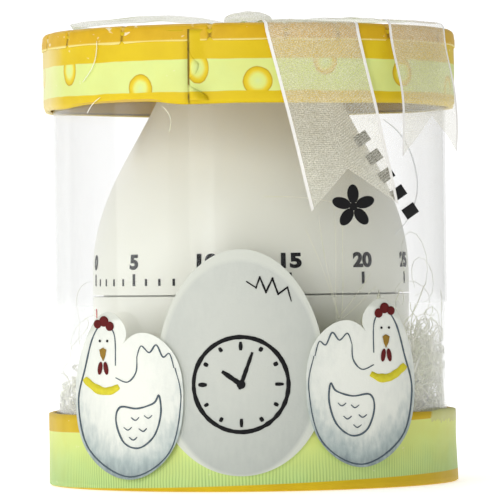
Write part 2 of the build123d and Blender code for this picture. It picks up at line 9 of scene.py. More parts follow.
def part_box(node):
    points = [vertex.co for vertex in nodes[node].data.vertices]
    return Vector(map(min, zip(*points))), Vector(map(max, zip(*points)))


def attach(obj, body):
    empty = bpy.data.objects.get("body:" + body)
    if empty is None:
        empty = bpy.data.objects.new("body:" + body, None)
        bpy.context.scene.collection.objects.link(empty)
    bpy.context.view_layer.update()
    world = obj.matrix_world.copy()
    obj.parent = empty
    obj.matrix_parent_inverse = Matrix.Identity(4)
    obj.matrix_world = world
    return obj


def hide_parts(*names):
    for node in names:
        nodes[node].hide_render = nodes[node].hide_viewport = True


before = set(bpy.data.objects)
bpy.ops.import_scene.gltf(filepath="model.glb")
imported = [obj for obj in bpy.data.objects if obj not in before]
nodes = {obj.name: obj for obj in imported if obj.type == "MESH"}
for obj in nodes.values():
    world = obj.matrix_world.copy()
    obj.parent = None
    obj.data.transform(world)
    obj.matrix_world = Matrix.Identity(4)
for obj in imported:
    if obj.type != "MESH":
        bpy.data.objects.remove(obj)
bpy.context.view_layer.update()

# A wind-up egg timer in its round gift box: white plastic egg, printed paper lid and base,
# clear acetate wall, shaped cards, shredded nest and an organza ribbon.
# Lengths are millimetres unless they go straight to Blender, and MM turns them into metres.
# A bearing is an angle about the upright axis, from the front (-Y) towards +X.

MM = 0.001


def extent(node):
    """The lowest and highest corners of a CAD node, in millimetres."""
    low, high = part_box(node)
    return low / MM, high / MM


# ---- Places taken from the frame ----
LID_LOW, LID_HIGH = extent("lid_wrap")
_, BASE_HIGH = extent("base_wrap")
_, TUBE_HIGH = extent("acetate_tube")
NEST_LOW, NEST_HIGH = extent("shred_nest")
DIAL_LOW, _ = extent("dial_shell")
CARD_LOW, CARD_HIGH = extent("egg_card")
HENS = {side: extent(f"{side}_hen_card") for side in ("left", "right")}
KNOT_LOW, KNOT_HIGH = extent("ribbon_knot")
LOOP_LOW, LOOP_HIGH = extent("ribbon_loop")
LID_RADIUS, LID_TOP, LID_BOTTOM = LID_HIGH.x, LID_HIGH.z, LID_LOW.z
BASE_RADIUS, BASE_TOP = BASE_HIGH.x, BASE_HIGH.z
TUBE_RADIUS, NEST_RADIUS = TUBE_HIGH.x, NEST_HIGH.x
SEAM_Z = DIAL_LOW.z
PAPER = 0.2


# ---- Shared helpers: meshes ----
def at_bearing(radius, bearing, height):
    """A point at a radius and a bearing in radians."""
    return Vector((radius * sin(bearing), -radius * cos(bearing), height))


def add_mesh(name, points, faces, *materials):
    """An object from points in millimetres."""
    mesh = bpy.data.meshes.new(name)
    mesh.from_pydata([Vector(p) * MM for p in points], [], faces)
    piece = bpy.data.objects.new(name, mesh)
    bpy.context.scene.collection.objects.link(piece)
    for material in materials:
        mesh.materials.append(material)
    for face in mesh.polygons:
        face.use_smooth = True
    return piece


def add_grid(name, rows, *materials, closed=False):
    """A sheet through rows of points, closed from the last row to the first if asked."""
    wide, many = len(rows[0]), len(rows)
    faces = []
    for row in range(many if closed else many - 1):
        here, there = row * wide, (row + 1) % many * wide
        for step in range(wide - 1):
            faces.append((here + step, there + step, there + step + 1, here + step + 1))
    return add_mesh(name, [p for row in rows for p in row], faces, *materials)


def thicken(piece, thickness, offset=-1.0):
    """Give a sheet a thickness in millimetres."""
    solid = piece.modifiers.new("Thickness", "SOLIDIFY")
    solid.thickness = thickness * MM
    solid.offset = offset
    return piece


def wobble(*place):
    """Smooth noise from -1 to 1."""
    return noise.noise(Vector(place))


def ring_wobble(size, bearing, height):
    """Smooth noise round a circle of a size, at a bearing and a height."""
    return wobble(size * sin(bearing), size * cos(bearing), height)


def signed(bearing):
    """The same bearing between -pi and pi."""
    return atan2(sin(bearing), cos(bearing))


def smooth_step(low, high, value):
    """0 below low, 1 above high and an easy curve between."""
    share = min(1.0, max(0.0, (value - low) / (high - low)))
    return share * share * (3 - 2 * share)


def shares(steps):
    """Even shares from 0 to 1."""
    return [step / steps for step in range(steps + 1)]


class Strands:
    """Many thin tubes gathered in one mesh."""

    def __init__(self):
        self.points, self.faces = [], []

    def add(self, path, wide, thick, sides=3):
        """A tube along a path, wide across and thick up, narrowing a little to its ends."""
        start, count = len(self.points), len(path)
        for step, point in enumerate(path):
            ahead = path[min(step + 1, count - 1)] - path[max(step - 1, 0)]
            across = ahead.cross(Vector((0.2, 0.1, 1.0))).normalized()
            over = across.cross(ahead).normalized()
            size = 0.6 if step in (0, count - 1) else 1.0
            for side in range(sides):
                turn = 2 * pi * side / sides
                self.points.append(
                    point + size * (across * (cos(turn) * wide / 2) + over * (sin(turn) * thick / 2))
                )
        for step in range(count - 1):
            for side in range(sides):
                near, far = start + step * sides, start + (step + 1) * sides
                beside = (side + 1) % sides
                self.faces.append((near + side, near + beside, far + beside, far + side))
        self.faces.append(tuple(range(start + sides - 1, start - 1, -1)))
        last = start + (count - 1) * sides
        self.faces.append(tuple(range(last, last + sides)))

    def finish(self, name, material):
        return add_mesh(name, self.points, self.faces, material)


# ---- Shared helpers: materials ----
def colour(code):
    """The linear colour of a six-digit screen colour."""
    parts = [int(code[place : place + 2], 16) / 255 for place in (0, 2, 4)]
    return tuple(((p + 0.055) / 1.055) ** 2.4 if p > 0.04045 else p / 12.92 for p in parts) + (1.0,)


class Paint:
    """One node material. Each call adds a node and returns the socket that it gives."""

    def __init__(self, name):
        self.material = bpy.data.materials.new(name)
        self.material.use_nodes = True
        self.tree = self.material.node_tree
        self.shader = self.tree.nodes["Principled BSDF"]
        self.output = self.tree.nodes["Material Output"]
        self.place = self.tree.nodes.new("ShaderNodeTexCoord").outputs["Object"]

    def put(self, socket, value):
        if isinstance(value, bpy.types.NodeSocket):
            self.tree.links.new(value, socket)
        else:
            socket.default_value = value

    def set(self, **values):
        """Set the shader's own sockets, with _ for a space."""
        for name, value in values.items():
            self.put(self.shader.inputs[name.replace("_", " ")], value)
        return self

    def node(self, kind, values=(), **settings):
        node = self.tree.nodes.new(kind)
        for name, value in settings.items():
            setattr(node, name, value)
        for place, value in enumerate(values):
            if value is not None:
                self.put(node.inputs[place], value)
        return node

    def math(self, operation, *values):
        return self.node("ShaderNodeMath", values, operation=operation).outputs[0]

    def plus(self, first, second):
        return self.math("ADD", first, second)

    def minus(self, first, second):
        return self.math("SUBTRACT", first, second)

    def times(self, first, second):
        return self.math("MULTIPLY", first, second)

    def scaled(self, value, factor, offset):
        return self.math("MULTIPLY_ADD", value, factor, offset)

    def length(self, first, second):
        """The length of a flat vector."""
        return self.math("SQRT", self.plus(self.times(first, first), self.times(second, second)))

    def axes(self):
        """X, Y and Z in millimetres."""
        scaled = self.node("ShaderNodeVectorMath", (self.place, (1 / MM,) * 3), operation="MULTIPLY")
        return self.node("ShaderNodeSeparateXYZ", (scaled.outputs[0],)).outputs

    def noise(self, grain, detail=2.0, stretch=(1.0, 1.0, 1.0)):
        """Noise with features of about a grain in millimetres."""
        moved = self.node("ShaderNodeVectorMath", (self.place, stretch), operation="MULTIPLY")
        cloud = self.node("ShaderNodeTexNoise")
        self.put(cloud.inputs["Vector"], moved.outputs[0])
        cloud.inputs["Scale"].default_value = 1 / (grain * MM)
        cloud.inputs["Detail"].default_value = detail
        return cloud.outputs["Fac"]

    def ramp(self, value, *stops):
        """A colour ramp of (position, colour code) stops."""
        ramp = self.node("ShaderNodeValToRGB", (value,))
        while len(ramp.color_ramp.elements) < len(stops):
            ramp.color_ramp.elements.new(0.5)
        for element, (position, code) in zip(ramp.color_ramp.elements, stops):
            element.position = position
            element.color = colour(code) if isinstance(code, str) else (code, code, code, 1.0)
        return ramp.outputs["Color"]

    def mix(self, share, first, second, way="MIX"):
        """Two colours mixed, with colour codes allowed."""
        mixed = self.node("ShaderNodeMix", (share,), data_type="RGBA", blend_type=way)
        for place, value in ((6, first), (7, second)):
            self.put(mixed.inputs[place], colour(value) if isinstance(value, str) else value)
        return mixed.outputs[2]

    def between(self, value, low, high):
        """0 at low and 1 at high."""
        values = (value, low, high, 0.0, 1.0)
        return self.node("ShaderNodeMapRange", values, clamp=True).outputs[0]

    def bump(self, height, depth, strength=1.0):
        """A bump of a depth in millimetres on the shader."""
        bump = self.node("ShaderNodeBump")
        bump.inputs["Strength"].default_value = strength
        bump.inputs["Distance"].default_value = depth * MM
        self.put(bump.inputs["Height"], height)
        return self.set(Normal=bump.outputs[0])


# ---- Materials ----
def plastic_paint(name, light, dark, roughness=0.32):
    """Moulded plastic with a faint mottle and a fine sandy skin."""
    paint = Paint(name)
    paint.set(
        Base_Color=paint.mix(paint.noise(9.0, 3.0), light, dark),
        Roughness=paint.scaled(paint.noise(1.2, 4.0), 0.12, roughness - 0.06),
        Specular_IOR_Level=0.45,
    )
    return paint.bump(paint.noise(0.35, 2.0), 0.01, 0.25).material


def metal_paint(name, light, dark, roughness, brushed=(1.0, 1.0, 1.0)):
    """Metal with fine brushing and a little tarnish."""
    paint = Paint(name)
    streaks = paint.noise(0.25, 4.0, brushed)
    paint.set(
        Base_Color=paint.mix(paint.noise(2.5, 5.0), light, dark),
        Metallic=1.0,
        Roughness=paint.scaled(streaks, 0.2, roughness - 0.1),
    )
    return paint.bump(streaks, 0.01, 0.2).material


def board_paint(name, light, dark):
    """Grey or brown board with pressed fibres."""
    paint = Paint(name)
    fibres = paint.noise(0.5, 6.0, (1.0, 1.0, 3.0))
    paint.set(Base_Color=paint.mix(fibres, light, dark), Roughness=0.9)
    return paint.bump(fibres, 0.05, 0.5).material


def rubber_paint():
    paint = Paint("foot_rubber_paint")
    paint.set(Base_Color=paint.mix(paint.noise(1.5, 4.0), "2B2C2E", "3C3D40"), Roughness=0.7)
    return paint.bump(paint.noise(0.3), 0.02, 0.4).material


def acetate_paint():
    """Clear film: light goes straight through it, but its edges and faint haze are pale and glossy."""
    paint = Paint("clear_acetate_paint")
    haze = paint.between(paint.noise(9.0, 4.0, (1.0, 1.0, 0.15)), 0.5, 0.8)
    paint.set(
        Base_Color=paint.mix(haze, "FAFCFC", "F2F5F5"),
        Metallic=0.35,
        Roughness=paint.scaled(haze, 0.1, 0.04),
    )
    clear = paint.node("ShaderNodeBsdfTransparent")
    clear.inputs["Color"].default_value = colour("FEFEFE")
    edge = paint.node("ShaderNodeLayerWeight")
    edge.inputs["Blend"].default_value = 0.14
    share = paint.scaled(edge.outputs["Facing"], 0.75, paint.times(haze, 0.025))
    mixer = paint.node("ShaderNodeMixShader", (share,))
    paint.put(mixer.inputs[1], clear.outputs[0])
    paint.put(mixer.inputs[2], paint.shader.outputs[0])
    paint.put(paint.output.inputs["Surface"], mixer.outputs[0])
    return paint.material


GOLD, DEEP_GOLD, PALE_PRINT, MINT_PRINT = "E4C814", "D6B408", "E2E886", "D6E692"


def bearing_socket(paint, x, y):
    """The bearing in degrees as a socket."""
    turn = paint.math("ARCTAN2", x, paint.times(y, -1.0))
    return paint.times(turn, degrees(1))


def worn_print(paint, printed, crackle=0.55, clean=0.7):
    """Scuffed printed paper: lighter flecks, uneven ink and a satin varnish."""
    uneven = paint.between(paint.noise(6.0, 5.0), 0.35, 0.75)
    inked = paint.mix(paint.times(uneven, 0.1), printed, "B89C20")
    scuffs = paint.between(paint.noise(2.2, 8.0, (1.0, 1.0, 1.8)), clean, clean + 0.06)
    worn = paint.mix(paint.times(scuffs, crackle), inked, "F3EBCB")
    paint.set(
        Base_Color=worn,
        Roughness=paint.scaled(paint.noise(3.0, 4.0), 0.2, 0.38),
        Specular_IOR_Level=0.25,
    )
    return paint.bump(paint.noise(0.8, 5.0), 0.05, 0.35).material


SEAM_BEARING = radians(-16.2)
# (bearing, height, half width, half height) of the printed rings in one repeat of the lid's print
LID_RINGS = (
    (-58.4, 77.6, 2.3, 2.9),
    (-30.5, 73.5, 2.5, 2.6),
    (-13.6, 77.0, 2.0, 2.9),
    (2.4, 74.5, 2.7, 2.6),
    (21.0, 78.0, 2.3, 2.4),
    (46.5, 76.2, 2.6, 2.6),
    (73.0, 73.8, 2.4, 2.5),
    (98.0, 77.6, 2.3, 2.7),
)
RING_REPEAT = 180.0
LID_BAND = (72.75, 78.6)


def lid_print_paint():
    """Gold edges, a pale band and shaded gold rings, with a painted shadow along the seam and a painted
    highlight down the left side.
    """
    paint = Paint("lid_print_paint")
    x, y, z = paint.axes()
    bearing = bearing_socket(paint, x, y)
    wrapped = paint.math("WRAP", bearing, RING_REPEAT - 66, -66.0)
    nearest = 9.0
    for ring_bearing, height, half_width, half_height in LID_RINGS:
        along = paint.times(paint.minus(wrapped, ring_bearing), LID_RADIUS * radians(1))
        across = paint.math("DIVIDE", along, half_width)
        up = paint.math("DIVIDE", paint.minus(z, height), half_height)
        nearest = paint.math("MINIMUM", nearest, paint.length(across, up))
    soft = paint.scaled(paint.noise(1.6, 3.0), 0.14, -0.07)
    rings = paint.times(paint.plus(nearest, soft), 0.7)
    band = paint.mix(paint.noise(7.0, 4.0), PALE_PRINT, MINT_PRINT)
    shades = (0.0, "D6E698"), (0.34, "E0E880"), (0.5, "E6CC30"), (0.62, "DEBE14"), (0.69, "BC980C")
    centre = paint.ramp(rings, *shades)
    band = paint.mix(paint.between(rings, 0.715, 0.69), band, centre)
    low, high = LID_BAND
    edge = paint.scaled(paint.noise(8.0, 2.0), 0.5, -0.25)
    level = paint.plus(z, edge)
    gold = paint.mix(paint.noise(5.0, 5.0), GOLD, DEEP_GOLD)
    printed = paint.mix(paint.between(level, high - 0.06, high + 0.06), band, gold)
    printed = paint.mix(paint.between(level, low + 0.06, low - 0.06), printed, gold)
    # A dark olive line painted along the front seam: a painted shadow of the crease where the sheet's end
    # lifts.
    seam = paint.math("ABSOLUTE", paint.minus(bearing, degrees(SEAM_BEARING) + 0.25))
    seam_shadow = paint.times(paint.between(seam, 0.5, 0.15), paint.between(paint.noise(3.0, 4.0), 0.3, 0.5))
    printed = paint.mix(seam_shadow, printed, "6E5A10")
    # A pale strip painted down the lid's left side, towards the lights: a painted highlight.
    side_highlight = paint.times(paint.between(bearing, -62.0, -74.0), paint.between(bearing, -120.0, -92.0))
    side_highlight = paint.times(side_highlight, 0.4)
    printed = paint.mix(side_highlight, printed, "F2EDD0")
    return worn_print(paint, printed)


# The bearings where the turned-over paper is nicked and folded
PLEAT_BEARINGS = [radians(20 * step - 174 + 5 * sin(5 * step)) for step in range(18)]


def lid_fold_paint():
    """The lid paper where it turns over the top edge: deeper gold, with painted shade in its pleats and a
    painted highlight along its lower edge.
    """
    paint = Paint("lid_fold_paint")
    x, y, z = paint.axes()
    reach = paint.length(x, y)
    gold = paint.mix(paint.noise(3.0, 6.0), "E2B818", "CC9E0A")
    top = paint.mix(paint.noise(9.0, 3.0), PALE_PRINT, MINT_PRINT)
    printed = paint.mix(paint.between(reach, LID_RADIUS - 3.4, LID_RADIUS - 3.2), top, gold)
    bearing = bearing_socket(paint, x, y)
    # Painted shade: the gold darkens towards each pleat's crease.
    for place in PLEAT_BEARINGS:
        gap = paint.math("ABSOLUTE", paint.minus(bearing, degrees(place)))
        printed = paint.mix(paint.times(paint.between(gap, 0.75, 0.1), 0.75), printed, "6A5208")
    # A pale line painted along the fold's lower edge: a painted highlight.
    fold_highlight = paint.between(z, LID_TOP - 2.7, LID_TOP - 2.95)
    return worn_print(paint, paint.mix(fold_highlight, printed, "EBDC84"), 0.8, 0.65)


def lid_top_paint():
    """The round sheet on top of the lid."""
    paint = Paint("lid_top_paint")
    spots = paint.node("ShaderNodeTexVoronoi", feature="F1")
    paint.put(spots.inputs["Vector"], paint.place)
    spots.inputs["Scale"].default_value = 1 / (15 * MM)
    ring = paint.ramp(spots.outputs["Distance"], (0.0, "DFEFA0"), (0.1, "E6EE86"), (0.19, "E2BE10"))
    pale = paint.mix(paint.noise(9.0, 3.0), PALE_PRINT, MINT_PRINT)
    printed = paint.mix(paint.between(spots.outputs["Distance"], 0.205, 0.195), pale, ring)
    return worn_print(paint, printed)


# The first and last bearings, in degrees, where the base's top edge is torn
TEAR_BEARINGS = (59.0, 86.0)


def base_print_paint():
    """Green pinstripes fading up to yellow, with gold edges that taper round the base."""
    paint = Paint("base_print_paint")
    x, y, z = paint.axes()
    bearing = bearing_socket(paint, x, y)
    arc = paint.times(bearing, BASE_RADIUS * radians(1))
    sway = paint.scaled(paint.noise(5.0, 2.0), 0.5, 0.0)
    wave = paint.math("SINE", paint.times(paint.plus(arc, sway), 2 * pi / 0.62))
    stripe = paint.between(wave, -0.2, 0.9)
    fade = paint.between(paint.plus(z, paint.times(paint.noise(4.0), 5.0)), 10.5, 3.5)
    ground = paint.ramp(
        paint.between(paint.plus(z, paint.times(paint.noise(6.0, 4.0), 4.0)), 1.0, 15.0),
        (0.0, "BAD88C"),
        (0.4, "C8DE88"),
        (0.7, "D8E684"),
        (1.0, "E2E882"),
    )
    striped = paint.mix(paint.times(stripe, paint.times(fade, 0.75)), ground, "8CB062")
    gold = paint.mix(paint.noise(5.0, 5.0), "DDBE10", "C8A208")
    side = paint.math("SINE", paint.times(bearing, radians(1)))
    low_edge = paint.scaled(side, 1.15, 1.25)
    high_edge = paint.scaled(side, 1.1, BASE_TOP - 2.2)
    printed = paint.mix(paint.between(paint.minus(z, low_edge), 0.05, -0.05), striped, gold)
    printed = paint.mix(paint.between(paint.minus(z, high_edge), -0.05, 0.05), printed, gold)
    rag = paint.scaled(paint.noise(1.4, 4.0), 3.0, -1.5)
    torn = paint.times(
        paint.between(paint.plus(bearing, rag), TEAR_BEARINGS[0], TEAR_BEARINGS[0] + 0.6),
        paint.between(bearing, TEAR_BEARINGS[1] + 0.6, TEAR_BEARINGS[1]),
    )
    high = paint.between(paint.plus(z, rag), BASE_TOP - 2.1, BASE_TOP - 1.7)
    printed = paint.mix(paint.times(torn, high), printed, "D0D28A")
    return worn_print(paint, printed, 0.35)


def card_paint(name, centre_x, centre_z, half_width, half_height, rim, wash):
    """White card with a grey watercolour wash that deepens low down, inside a paler rim."""
    paint = Paint(name)
    x, _, z = paint.axes()
    across = paint.math("DIVIDE", paint.minus(x, centre_x), half_width)
    up = paint.math("DIVIDE", paint.minus(z, centre_z), half_height)
    reach = paint.length(across, up)
    blotch = paint.scaled(paint.noise(3.0, 6.0), 0.5, -0.25)
    brush = paint.scaled(paint.noise(0.8, 5.0, (1.0, 1.0, 0.35)), 0.5, -0.25)
    low = paint.times(up, -0.5)
    depth = paint.plus(paint.plus(reach, low), paint.plus(blotch, brush))
    washed = paint.ramp(paint.between(depth, 0.3, 1.6), *wash)
    margin = paint.between(reach, rim - 0.02, rim + 0.02)
    paint.set(Base_Color=paint.mix(margin, washed, "D2D5CA"), Roughness=0.55)
    grain = paint.plus(paint.noise(0.5, 4.0), paint.times(margin, 2.0))
    return paint.bump(grain, 0.06, 0.5).material


def ink_paint(name, light, dark, roughness=0.65):
    """Printed or brushed ink with uneven cover."""
    paint = Paint(name)
    paint.set(
        Base_Color=paint.mix(paint.noise(0.9, 5.0), light, dark),
        Roughness=roughness,
        Specular_IOR_Level=0.2,
    )
    return paint.bump(paint.noise(0.3, 3.0), 0.01, 0.3).material


def straw_paint():
    """Shredded cream film: shiny, a little translucent and greenish in places, with a faint painted glow."""
    paint = Paint("shredded_straw_paint")
    tint = paint.ramp(paint.noise(5.0, 3.0), (0.3, "FFFDF2"), (0.5, "F4F4D8"), (0.7, "DCE2B4"))
    paint.set(
        Base_Color=tint,
        Roughness=paint.scaled(paint.noise(1.5), 0.25, 0.2),
        Specular_IOR_Level=0.6,
        Subsurface_Weight=0.5,
        Subsurface_Radius=(1.0, 1.0, 0.85),
        Subsurface_Scale=2 * MM,
        # A faint painted glow: the strands give off a little cream light of their own, standing in for light
        # passing through them.
        Emission_Color=colour("F4F2DC"),
        Emission_Strength=0.07,
    )
    return paint.bump(paint.noise(0.4, 3.0), 0.03, 0.4).material


def organza_paint():
    """Sheer woven ribbon: a fine twill of threads with light showing between them."""
    paint = Paint("organza_paint")
    mapping = paint.node("ShaderNodeUVMap", uv_map="weave").outputs[0]
    across, along, _ = paint.node("ShaderNodeSeparateXYZ", (mapping,)).outputs
    jitter = paint.times(paint.noise(0.9, 3.0), 3.0)
    threads = []
    for first, second in ((1.0, 0.75), (0.8, -1.0)):
        slant = paint.plus(paint.times(across, first), paint.times(along, second))
        wave = paint.math("SINE", paint.plus(paint.times(slant, 2 * pi / 0.4), jitter))
        threads.append(paint.between(wave, -0.6, 1.0))
    weave = paint.math("MAXIMUM", *threads)
    specks = paint.between(paint.noise(0.22, 2.0), 0.35, 0.65)
    cloudy = paint.scaled(paint.noise(5.0, 3.0), 0.16, 0.0)
    woven = paint.scaled(weave, 0.24, paint.scaled(specks, 0.22, 0.06))
    cover = paint.plus(woven, cloudy)
    paint.set(
        Base_Color=paint.mix(specks, "E4DFC4", "FBF9EA"),
        Roughness=0.45,
        Sheen_Weight=0.5,
        Alpha=cover,
    )
    return paint.bump(weave, 0.05, 0.5).material


def satin_paint():
    """The bright satin edge of the ribbon."""
    paint = Paint("satin_edge_paint")
    ribs = paint.noise(0.3, 3.0)
    paint.set(Base_Color=paint.mix(ribs, "FFFEFA", "F2EFE6"), Roughness=0.3, Sheen_Weight=0.4)
    return paint.bump(ribs, 0.04, 0.5).material


WHITE_SHELL = plastic_paint("white_shell_paint", "F1F2E6", "EAEBDD")
STEEL = metal_paint("steel_paint", "B9BCC0", "9A9DA2", 0.32, (1.0, 1.0, 8.0))
BLUE_STEEL = metal_paint("spring_steel_paint", "6F7888", "505868", 0.28, (1.0, 1.0, 0.1))
BRASS = metal_paint("brass_paint", "D2AE5C", "B08A3C", 0.3, (6.0, 1.0, 1.0))
BELL = metal_paint("bell_steel_paint", "D9DADB", "BFC1C4", 0.18, (1.0, 1.0, 12.0))
GREY_BOARD = board_paint("grey_board_paint", "A39C86", "857D68")
BROWN_BOARD = board_paint("brown_board_paint", "E2C05A", "C09C3C")
WHITE_CARD = board_paint("white_card_paint", "F0EFE9", "E3E2DA")
RUBBER = rubber_paint()
ACETATE = acetate_paint()
LID_PRINT = lid_print_paint()
LID_FOLD = lid_fold_paint()
LID_TOP_PRINT = lid_top_paint()
BASE_PRINT = base_print_paint()
EGG_WASH = ((0.0, "C9CCC3"), (0.5, "BFC3BB"), (1.0, "AFB4AE"))
HEN_WASH = ((0.0, "F0F2E8"), (0.3, "E4E7DE"), (0.65, "AAB7B5"), (1.0, "5E6E77"))
STRAW = straw_paint()
ORGANZA = organza_paint()
SATIN = satin_paint()
BLACK_INK = ink_paint("black_ink_paint", "050506", "121214")
RED_INK = ink_paint("red_ink_paint", "D84A3C", "C23A2E")
COMB_INK = ink_paint("comb_ink_paint", "6E1414", "4A0C0C")
BEAK_INK = ink_paint("beak_ink_paint", "A88432", "7E6220")
LINE_INK = ink_paint("line_ink_paint", "62707A", "3C4850")
CLEAR_EDGE = ink_paint("sticker_edge_paint", "E4E7E6", "D6DAD8", 0.2)
COLLAR_INK = ink_paint("collar_ink_paint", "E4D83C", "C9BE28")

CARD_X = (CARD_LOW.x + CARD_HIGH.x) / 2
CARD_WAIST = 20.0


def hen_place(word):
    """The middle and the lowest point of a hen card's front view, and its face's radius."""
    low, high = HENS[word]
    nearest = min(abs(low.x), abs(high.x))
    return (low.x + high.x) / 2, low.z, hypot(nearest, low.y)


def hen_card_paint(word):
    middle, bottom, _ = hen_place(word)
    return card_paint(f"{word}_hen_paint", middle, bottom + 13.5, 11.4, 14.2, 1.12, HEN_WASH)


# Each material and the CAD nodes that wear it; the rest are steel
NODE_PAINTS = {
    name: paint
    for paint, names in (
        (WHITE_SHELL, "dial_shell lower_shell"),
        (RUBBER, "foot_ring"),
        (ACETATE, "acetate_tube"),
        (GREY_BOARD, "base_floor base_rim insert_pad"),
        (BROWN_BOARD, "lid_disc lid_rim"),
        (WHITE_CARD, "card_pads"),
        (BASE_PRINT, "base_underside_paper"),
        (LID_TOP_PRINT, "lid_top_paper"),
        (card_paint("egg_card_paint", CARD_X, CARD_WAIST + 2.5, 15.4, 21.0, 0.93, EGG_WASH), "egg_card"),
        (hen_card_paint("right"), "right_hen_card"),
        (hen_card_paint("left"), "left_hen_card"),
        (BELL, "bell"),
        (BLUE_STEEL, "mainspring balance_spring hammer_spring clutch_spring"),
        (BRASS, "lower_plate upper_plate bell_bush balance_wheel"),
        (BRASS, "great_wheel second_wheel third_wheel escape_wheel"),
    )
    for name in names.split()
}


def paint_nodes():
    """Give every CAD node its material."""
    for name, node in nodes.items():
        node.data.materials.clear()
        node.data.materials.append(NODE_PAINTS.get(name, STEEL))


# ---- Printed paper round the lid ----
WRAP_STEPS = 720


def lid_edge(bearing):
    """The height of the lid's lower edge, which wavers a little."""
    lifted = smooth_step(-1.15, -0.85, bearing) * smooth_step(-0.3, -0.5, bearing)
    return LID_BOTTOM - 0.3 + 0.25 * ring_wobble(2.2, bearing, 1.0) + 0.6 * lifted


def lid_side_paper():
    """The side sheet: one strip round the rim, its end lifting over its start at the front seam."""
    rows = []
    heights = 16
    overlap = radians(4)
    for share in shares(WRAP_STEPS):
        bearing = SEAM_BEARING + overlap - (2 * pi + overlap) * share
        near_end = smooth_step(1 - 0.014, 1.0, share)
        tucked = smooth_step(0.016, 0.008, share)
        bottom = lid_edge(signed(bearing))
        row = [
            at_bearing(LID_RADIUS - 1.3, bearing, bottom + 0.05),
            at_bearing(LID_RADIUS - 0.8, bearing, bottom - 0.1),
        ]
        for rise in shares(heights):
            height = bottom - 0.1 + (LID_TOP - 0.9 - bottom) * rise
            ripple = 0.1 * ring_wobble(5, bearing, height / 6)
            dent = 0.12 * ring_wobble(14, bearing, height / 2.5)
            radius = LID_RADIUS - 0.1 + ripple + 0.4 * dent
            radius += 0.75 * near_end * (1 - 0.35 * rise) - 0.35 * tucked
            if rise == 0:
                radius -= 0.3
            row.append(at_bearing(radius, bearing, height))
        rows.append(row)
    return thicken(add_grid("lid_side_paper", rows, LID_PRINT), PAPER, 0.0)


PLEAT_HALF_ANGLE = 0.016


def pleat(bearing):
    """How deep the nearest V pleat is at a bearing, from 0 to 1."""
    deepest = 0.0
    for place in PLEAT_BEARINGS:
        gap = abs(signed(bearing - place))
        deepest = max(deepest, 1 - gap / PLEAT_HALF_ANGLE)
    return max(0.0, deepest)


def lid_fold_paper():
    """The turned-over edge: it comes round the top of the side and onto the disc, with pleats."""
    rows = []
    steps = 900
    for step in range(steps):
        bearing = 2 * pi * step / steps
        nick = pleat(bearing)
        sway = 0.16 * ring_wobble(6, bearing, 4.0)
        skirt = LID_TOP - 3.1 + 0.3 * ring_wobble(4, bearing, 9.0) + 0.7 * nick
        outer = LID_RADIUS + 0.12 + 0.5 * sway
        row = [
            at_bearing(outer + 0.04, bearing, skirt),
            at_bearing(outer + 0.02, bearing, skirt + 0.4),
            at_bearing(outer - 0.25 * nick, bearing, LID_TOP - 1.7),
            at_bearing(outer - 0.1 - 0.45 * nick, bearing, LID_TOP - 1.2),
        ]
        for quarter in range(1, 6):
            turn = quarter / 5 * pi / 2
            row.append(
                at_bearing(
                    outer - 1.1 + 1.0 * cos(turn) - 0.4 * nick,
                    bearing,
                    LID_TOP - 0.95 + 1.0 * sin(turn) - 0.35 * nick + 0.3 * sway,
                )
            )
        for inward in (2.4, 4.5, 7.0, 8.3):
            ripple = 0.1 * ring_wobble(9, bearing, inward)
            row.append(at_bearing(LID_RADIUS - inward, bearing, LID_TOP + 0.1 + ripple - 0.15 * nick))
        rows.append(row)
    return thicken(add_grid("lid_fold_paper", rows, LID_FOLD, closed=True), 0.14, 0.0)


def lid_seam_flap():
    """The side sheet's loose end at the front seam, folded back at its foot and its middle."""
    rows = []
    for rise in shares(48):
        height = LID_BOTTOM + 0.1 + (LID_TOP - 3.2 - LID_BOTTOM) * rise
        foot = smooth_step(0.3, 0.02, rise)
        middle = smooth_step(0.35, 0.5, rise) * smooth_step(0.85, 0.6, rise)
        reach = 0.35 + 3.4 * foot + 1.5 * middle + 0.3 * wobble(height, 2.0, 0.0)
        row = []
        for share in shares(6):
            crease = sin(pi * share)
            lift = 0.25 + 1.1 * crease * (0.4 + foot) + 0.2 * wobble(3 * share, height / 1.5, 6.0)
            row.append(at_bearing(LID_RADIUS + lift, SEAM_BEARING + share * reach / LID_RADIUS, height))
        rows.append(row)
    return thicken(add_grid("lid_seam_flap", rows, LID_PRINT), 0.14, 0.0)


# ---- Printed paper round the base ----
def base_paper():
    """The base's sheet from underneath, up the side and over the rim, with one torn corner."""
    rows = []
    heights = 14
    first, last = (radians(place) for place in TEAR_BEARINGS)
    for step in range(WRAP_STEPS):
        bearing = 2 * pi * step / WRAP_STEPS
        turn = signed(bearing)
        torn = smooth_step(first, first + 0.1, turn) * smooth_step(last, last - 0.2, turn)
        flare = 0.35 * smooth_step(0.9, 1.5, turn) * smooth_step(2.4, 1.9, turn)
        top = BASE_TOP + 0.12 * ring_wobble(4, bearing, 7.0)
        row = [
            at_bearing(BASE_RADIUS - 8.0, bearing, 0.1),
            at_bearing(BASE_RADIUS - 2.0, bearing, 0.1),
            at_bearing(BASE_RADIUS - 0.35 + flare, bearing, 0.12),
        ]
        for rise in shares(heights):
            height = 0.3 + (top - 0.4) * rise
            ripple = 0.09 * ring_wobble(5, bearing, height / 5)
            spread = flare * (1 - rise) ** 2 + 0.5 * torn * rise**6
            row.append(at_bearing(BASE_RADIUS - 0.1 + ripple + spread, bearing, height))
        row.append(at_bearing(BASE_RADIUS - 0.45 + 0.6 * torn, bearing, top + 0.35 * torn))
        row.append(at_bearing(BASE_RADIUS - 1.15, bearing, top - 0.08))
        rows.append(row)
    return thicken(add_grid("base_paper", rows, BASE_PRINT, closed=True), PAPER, 0.0)


